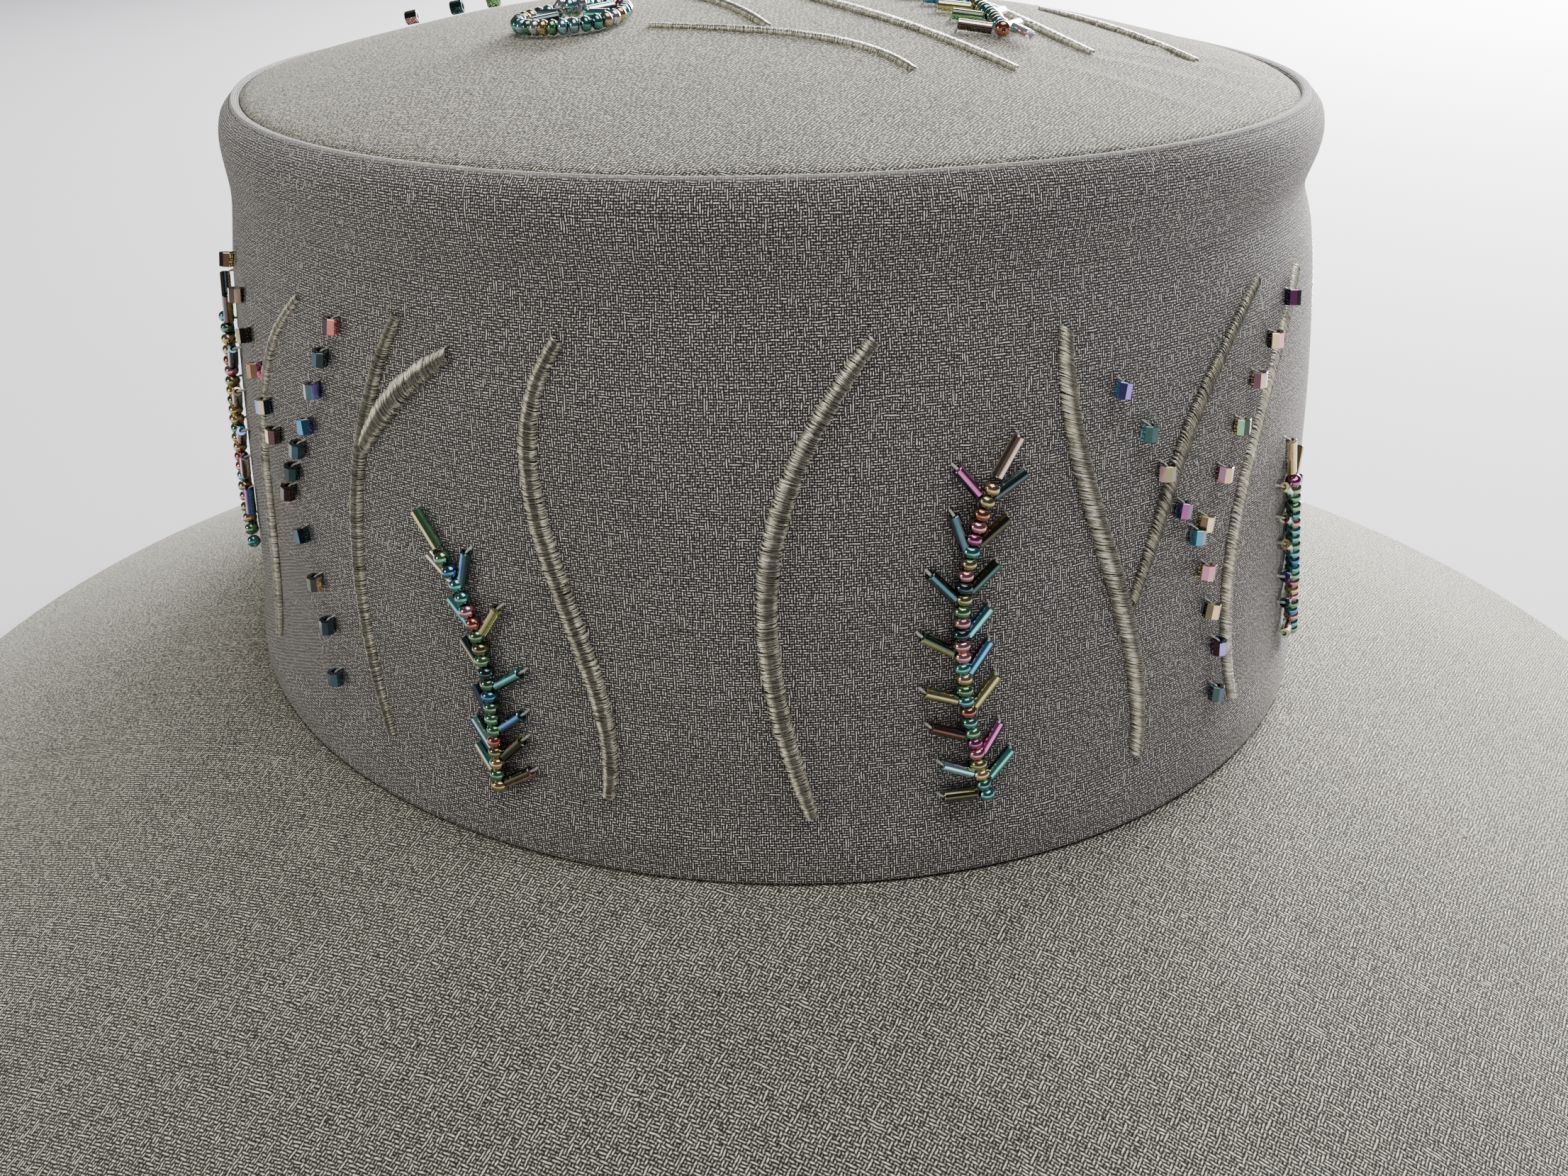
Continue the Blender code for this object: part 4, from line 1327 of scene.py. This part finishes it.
def build_spray(beads, material, nylon, name, place, rng):
    """A spine of seed beads with bugles slanting up from it, in the place of its plain solid."""
    seeds = build_spine(beads, name, place, rng)
    shares, sides, tilts, coats = spray_chart(name, rng)
    at_head = sides == 0
    height = beads.lift + beads.bugle_diameter / 2
    point, along, across, normal = route_frames(place, shares, height)
    ahead = turn_in(along, across, np.where(at_head, tilts, sides * tilts))
    aside = unit(np.cross(ahead, normal))
    stretch = rng.uniform(0.94, 1.04, (len(coats), 1)) * np.where(at_head, HEAD_BUGLE_SHARE, 1.0)[:, None]
    size = beads.bugle_length * stretch
    start = point + ahead * np.where(at_head, HEAD_BUGLE_START, beads.seed_diameter * 0.58)[:, None]
    spin = rng.uniform(0, 60, len(coats))
    bugles = lay_beads(
        name + "_bugles", bugle_pattern(beads), start + ahead * size / 2, turn_in(aside, normal, spin),
        turn_in(normal, -aside, spin), ahead * stretch, banded_tints(coats, rng, BUGLE_SIDES))
    piece = join_pieces([seeds, bugles], name + "_beads")
    finish_piece(piece, material)
    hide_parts(name)
    lay_threads(
        nylon, name + "_thread", start + ahead * (size - BUGLE_THREAD_START), ahead, normal,
        height + BEADING_DEPTH, BUGLE_THREAD_REACH)


def round_ring(right, ahead, count, shift):
    """Turns, directions outwards and directions onwards, evenly round a ring from right towards ahead."""
    turn = 2 * math.pi * (np.arange(count)[:, None] + shift) / count
    spokes = right * np.cos(turn) + ahead * np.sin(turn)
    return turn, spokes, ahead * np.cos(turn) - right * np.sin(turn)


def build_flower(beads, material, rng):
    """A ring of seed beads on the tip with short bugles towards its middle, and pale beads at its heart."""
    x, y = tip_place(*(np.array([share]) for share in FLOWER_PLACE))
    normal = tip_normal(x, y)
    centre = np.stack((x, y, tip_height(x, y)), axis=-1)
    right = unit(np.cross(normal, (0.0, 1.0, 0.0)))
    ahead = np.cross(normal, right)
    count = int(2 * math.pi * FLOWER_RADIUS / beads.seed_length / 1.03)
    turn, spokes, tangents = round_ring(right, ahead, count, 0.0)
    reach = FLOWER_RADIUS + FLOWER_WAVE * np.cos(3 * turn + 1.0)
    coats = [FLOWER_COATS[step % len(FLOWER_COATS)] for step in range(count)]
    seeds = lay_beads(
        "flower_seeds", seed_pattern(beads),
        centre + spokes * reach + normal * (beads.lift + beads.seed_diameter / 2), spokes, normal, tangents,
        plain_tints(coats, rng))
    _, spokes, tangents = round_ring(right, ahead, len(PETAL_COATS), 0.2)
    bugles = lay_beads(
        "flower_bugles", bugle_pattern(beads),
        centre + spokes * (FLOWER_RADIUS - PETAL_INSET) + normal * (beads.lift + beads.bugle_diameter * 0.9),
        tangents, normal, -spokes * PETAL_SHARE, banded_tints(PETAL_COATS, rng, BUGLE_SIDES))
    _, spokes, tangents = round_ring(right, ahead, len(HEART_COATS), 0.0)
    rise = beads.lift + beads.bugle_diameter + beads.seed_diameter * 0.55
    heart = lay_beads(
        "flower_heart", seed_pattern(beads), centre + spokes * HEART_RADIUS + normal * rise, spokes, normal,
        tangents, plain_tints(HEART_COATS, rng))
    piece = join_pieces([seeds, bugles, heart], "tip_bead_flower_beads")
    finish_piece(piece, material)
    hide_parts("tip_bead_flower")


def sew_singles(beads, material, nylon, name, point, along, normal, letters, rng):
    """Single cut beads sewn one by one, with their axes near the direction along."""
    count = len(letters)
    ahead = turn_in(along, unit(np.cross(along, normal)), rng.uniform(-16, 16, count))
    aside = unit(np.cross(ahead, normal))
    spin = rng.uniform(0, 60, count)
    piece = lay_beads(
        name + "_beads", single_pattern(beads), point, turn_in(aside, normal, spin),
        turn_in(normal, -aside, spin), ahead, banded_tints(letters, rng, CUT_SIDES))
    finish_piece(piece, material)
    lay_threads(
        nylon, name + "_thread", point + ahead * beads.cut_length * CUT_THREAD_START, ahead, normal,
        single_height(beads) + BEADING_DEPTH, CUT_THREAD_REACH)


def build_trail(beads, material, nylon, name, place, order, rng):
    """Single cut beads evenly spaced along a trail."""
    shares = np.linspace(0.0, 1.0, len(order))
    point, along, _, normal = route_frames(place, shares, single_height(beads))
    sew_singles(beads, material, nylon, name, point, along, normal, order, rng)


def build_charted_trail(beads, material, nylon, name, chart, rng):
    angles, shares, letters = zip(*chart)
    angle = np.array(angles)
    share = np.array(shares)
    normal = wall_normal(angle, share)
    point = wall_point(angle, share) + normal * single_height(beads)
    level = unit(np.cross((0.0, 0.0, 1.0), normal))
    sew_singles(beads, material, nylon, name, point, np.cross(normal, level), normal, letters, rng)


def tip_bead_place(beads, across, along):
    """Where beads lie on the tip, and the directions outwards there."""
    x, y = tip_place(np.array(across), np.array(along))
    normal = tip_normal(x, y)
    return np.stack((x, y, tip_height(x, y)), axis=-1) + normal * single_height(beads), normal


def build_tip_beads(beads, material, rng):
    """The single cut beads at the far left of the tip."""
    across, along, letters = zip(*TIP_BEADS)
    point, normal = tip_bead_place(beads, across, along)
    ahead = unit(np.cross(normal, TIP_BEAD_AIM))
    piece = lay_beads(
        "tip_cut_beads", single_pattern(beads), point, unit(np.cross(ahead, normal)), normal, ahead,
        banded_tints(letters, rng, CUT_SIDES))
    finish_piece(piece, material)


def build_tip_crystal(beads, rng):
    """The clear bugle that is sewn on the tip by itself."""
    across, along, turn, coat = TIP_CRYSTAL
    point, normal = tip_bead_place(beads, [across], [along])
    right = unit(np.cross((0.0, 1.0, 0.0), normal))
    ahead = turn_in(np.cross(normal, right), -right, np.array([turn]))
    piece = lay_beads(
        "tip_crystal", bugle_pattern(beads), point, unit(np.cross(ahead, normal)), normal, ahead,
        banded_tints(coat, rng, BUGLE_SIDES))
    finish_piece(piece, crystal_material())


class HAT_OT_add_cloth(bpy.types.Operator):
    """Add the brim, the side band and the tip of wool crepe"""
    bl_idname = "wool_hat.add_cloth"
    bl_label = "Add Cloth"

    def execute(self, context):
        cloth = context.scene.wool_hat_cloth
        build_brim(cloth)
        build_side(cloth)
        build_tip(cloth)
        return {"FINISHED"}


class HAT_OT_add_stems(bpy.types.Operator):
    """Add the satin stitches over the stems"""
    bl_idname = "wool_hat.add_stems"
    bl_label = "Add Stems"

    def execute(self, context):
        thread = context.scene.wool_hat_thread
        satin = thread_material("satin_thread", thread, 1.0)
        # The tip's stems are the same thread as the wall's, painted darker as painted shade
        tip_satin_painted_darker = thread_material("pale_satin_thread", thread, 0.62)
        rng = np.random.default_rng(3)
        for name, foot, head, *handles, width_share, turn in STEM_ROWS:
            place = wall_route(foot, head, handles)
            rise_share = min(1.0, WALL_STEM_RISE * width_share ** 1.5)
            build_stitches(thread, satin, name, place, width_share, turn, rise_share, rng)
        for name, foot_x, foot_y, head_x, head_y, bow_low, bow_high, width_share, turn in TIP_STEM_ROWS:
            place = tip_route((foot_x, foot_y), (head_x, head_y), bow_low, bow_high)
            build_stitches(thread, tip_satin_painted_darker, name, place, width_share, turn, TIP_STEM_RISE, rng)
        return {"FINISHED"}


class HAT_OT_add_beads(bpy.types.Operator):
    """Add the bead sprays, the bead flower and the single cut beads"""
    bl_idname = "wool_hat.add_beads"
    bl_label = "Add Beads"

    def execute(self, context):
        beads = context.scene.wool_hat_beads
        rng = np.random.default_rng(beads.seed)
        iris = bead_material()
        nylon = nylon_material()
        for name, foot, head, *handles in SPRAY_ROWS:
            build_spray(beads, iris, nylon, name, wall_route(foot, head, handles), rng)
        name, foot_x, foot_y, head_x, head_y, bow = TIP_SPRAY
        place = tip_route((foot_x, foot_y), (head_x, head_y), bow, bow)
        build_spray(beads, iris, nylon, name, place, rng)
        build_flower(beads, iris, rng)
        for name, foot, head, *handles, order in TRAIL_ROWS:
            build_trail(beads, iris, nylon, name, wall_route(foot, head, handles), order, rng)
        for name, chart in TRAIL_CHARTS.items():
            build_charted_trail(beads, iris, nylon, name, chart, rng)
        build_tip_beads(beads, iris, rng)
        build_tip_crystal(beads, rng)
        return {"FINISHED"}


class HAT_OT_add_stage(bpy.types.Operator):
    """Add the floor, the lights and the camera"""
    bl_idname = "wool_hat.add_stage"
    bl_label = "Add Stage"

    def execute(self, context):
        stage = context.scene.wool_hat_stage
        bpy.ops.mesh.primitive_plane_add(size=12.0)
        floor = name_new("floor")
        material, shader, start = new_material("floor_paper", {"Roughness": 0.85, "Specular IOR Level": 0.2})
        cloud = start.noise(start.node("ShaderNodeTexCoord", out="Object"), 3.0, 2.0)
        feed(shader, {"Base Color": start.scale(tuple(stage.floor_colour), 0.985 + 0.03 * cloud)})
        floor.data.materials.append(material)
        for name, setting, place, aim, size, colour in LIGHT_ROWS:
            self.add_light(name, getattr(stage, setting), place, aim, size, colour)
        world = bpy.data.worlds.new("room")
        context.scene.world = world
        world.use_nodes = True
        background = world.node_tree.nodes["Background"]
        background.inputs["Color"].default_value = (0.95, 0.95, 1.0, 1.0)
        background.inputs["Strength"].default_value = stage.room_strength
        self.add_camera(context)
        return {"FINISHED"}

    def add_light(self, name, power, place, aim, size, colour):
        bpy.ops.object.light_add(type="AREA", location=place)
        light = bpy.context.object
        light.name = name
        light.data.energy = power
        light.data.size = size
        light.data.color = colour
        light.rotation_euler = (Vector(aim) - Vector(place)).to_track_quat("-Z", "Y").to_euler()

    def add_camera(self, context):
        bpy.ops.object.camera_add(location=CAMERA_PLACE)
        camera = bpy.context.object
        camera.name = "camera"
        right = Vector(CAMERA_RIGHT).normalized()
        up = Vector(CAMERA_UP).normalized()
        turn = Matrix((right, up, right.cross(up))).transposed()
        camera.rotation_euler = turn.to_euler()
        camera.data.sensor_fit = "HORIZONTAL"
        camera.data.sensor_width = SENSOR_WIDTH
        camera.data.lens = CAMERA_LENS
        camera.data.clip_start = 0.01
        context.scene.camera = camera


class HAT_PT_panel(bpy.types.Panel):
    """Steps that build the hat"""
    bl_idname = "HAT_PT_panel"
    bl_label = "Wool Hat"
    bl_space_type = "VIEW_3D"
    bl_region_type = "UI"
    bl_category = "Wool Hat"

    def draw(self, context):
        for operator in OPERATORS:
            self.layout.operator(operator.bl_idname)


SETTINGS = {
    "wool_hat_cloth": HatClothSettings,
    "wool_hat_thread": HatThreadSettings,
    "wool_hat_beads": HatBeadSettings,
    "wool_hat_stage": HatStageSettings,
}
OPERATORS = (HAT_OT_add_cloth, HAT_OT_add_stems, HAT_OT_add_beads, HAT_OT_add_stage)


def register():
    for name, settings in SETTINGS.items():
        bpy.utils.register_class(settings)
        setattr(bpy.types.Scene, name, PointerProperty(type=settings))
    for operator in OPERATORS:
        bpy.utils.register_class(operator)
    bpy.utils.register_class(HAT_PT_panel)


def unregister():
    bpy.utils.unregister_class(HAT_PT_panel)
    for operator in reversed(OPERATORS):
        bpy.utils.unregister_class(operator)
    for name, settings in reversed(list(SETTINGS.items())):
        delattr(bpy.types.Scene, name)
        bpy.utils.unregister_class(settings)


def main():
    register()
    bpy.ops.wool_hat.add_cloth()
    bpy.ops.wool_hat.add_stems()
    bpy.ops.wool_hat.add_beads()
    bpy.ops.wool_hat.add_stage()


if __name__ == "__main__":
    main()
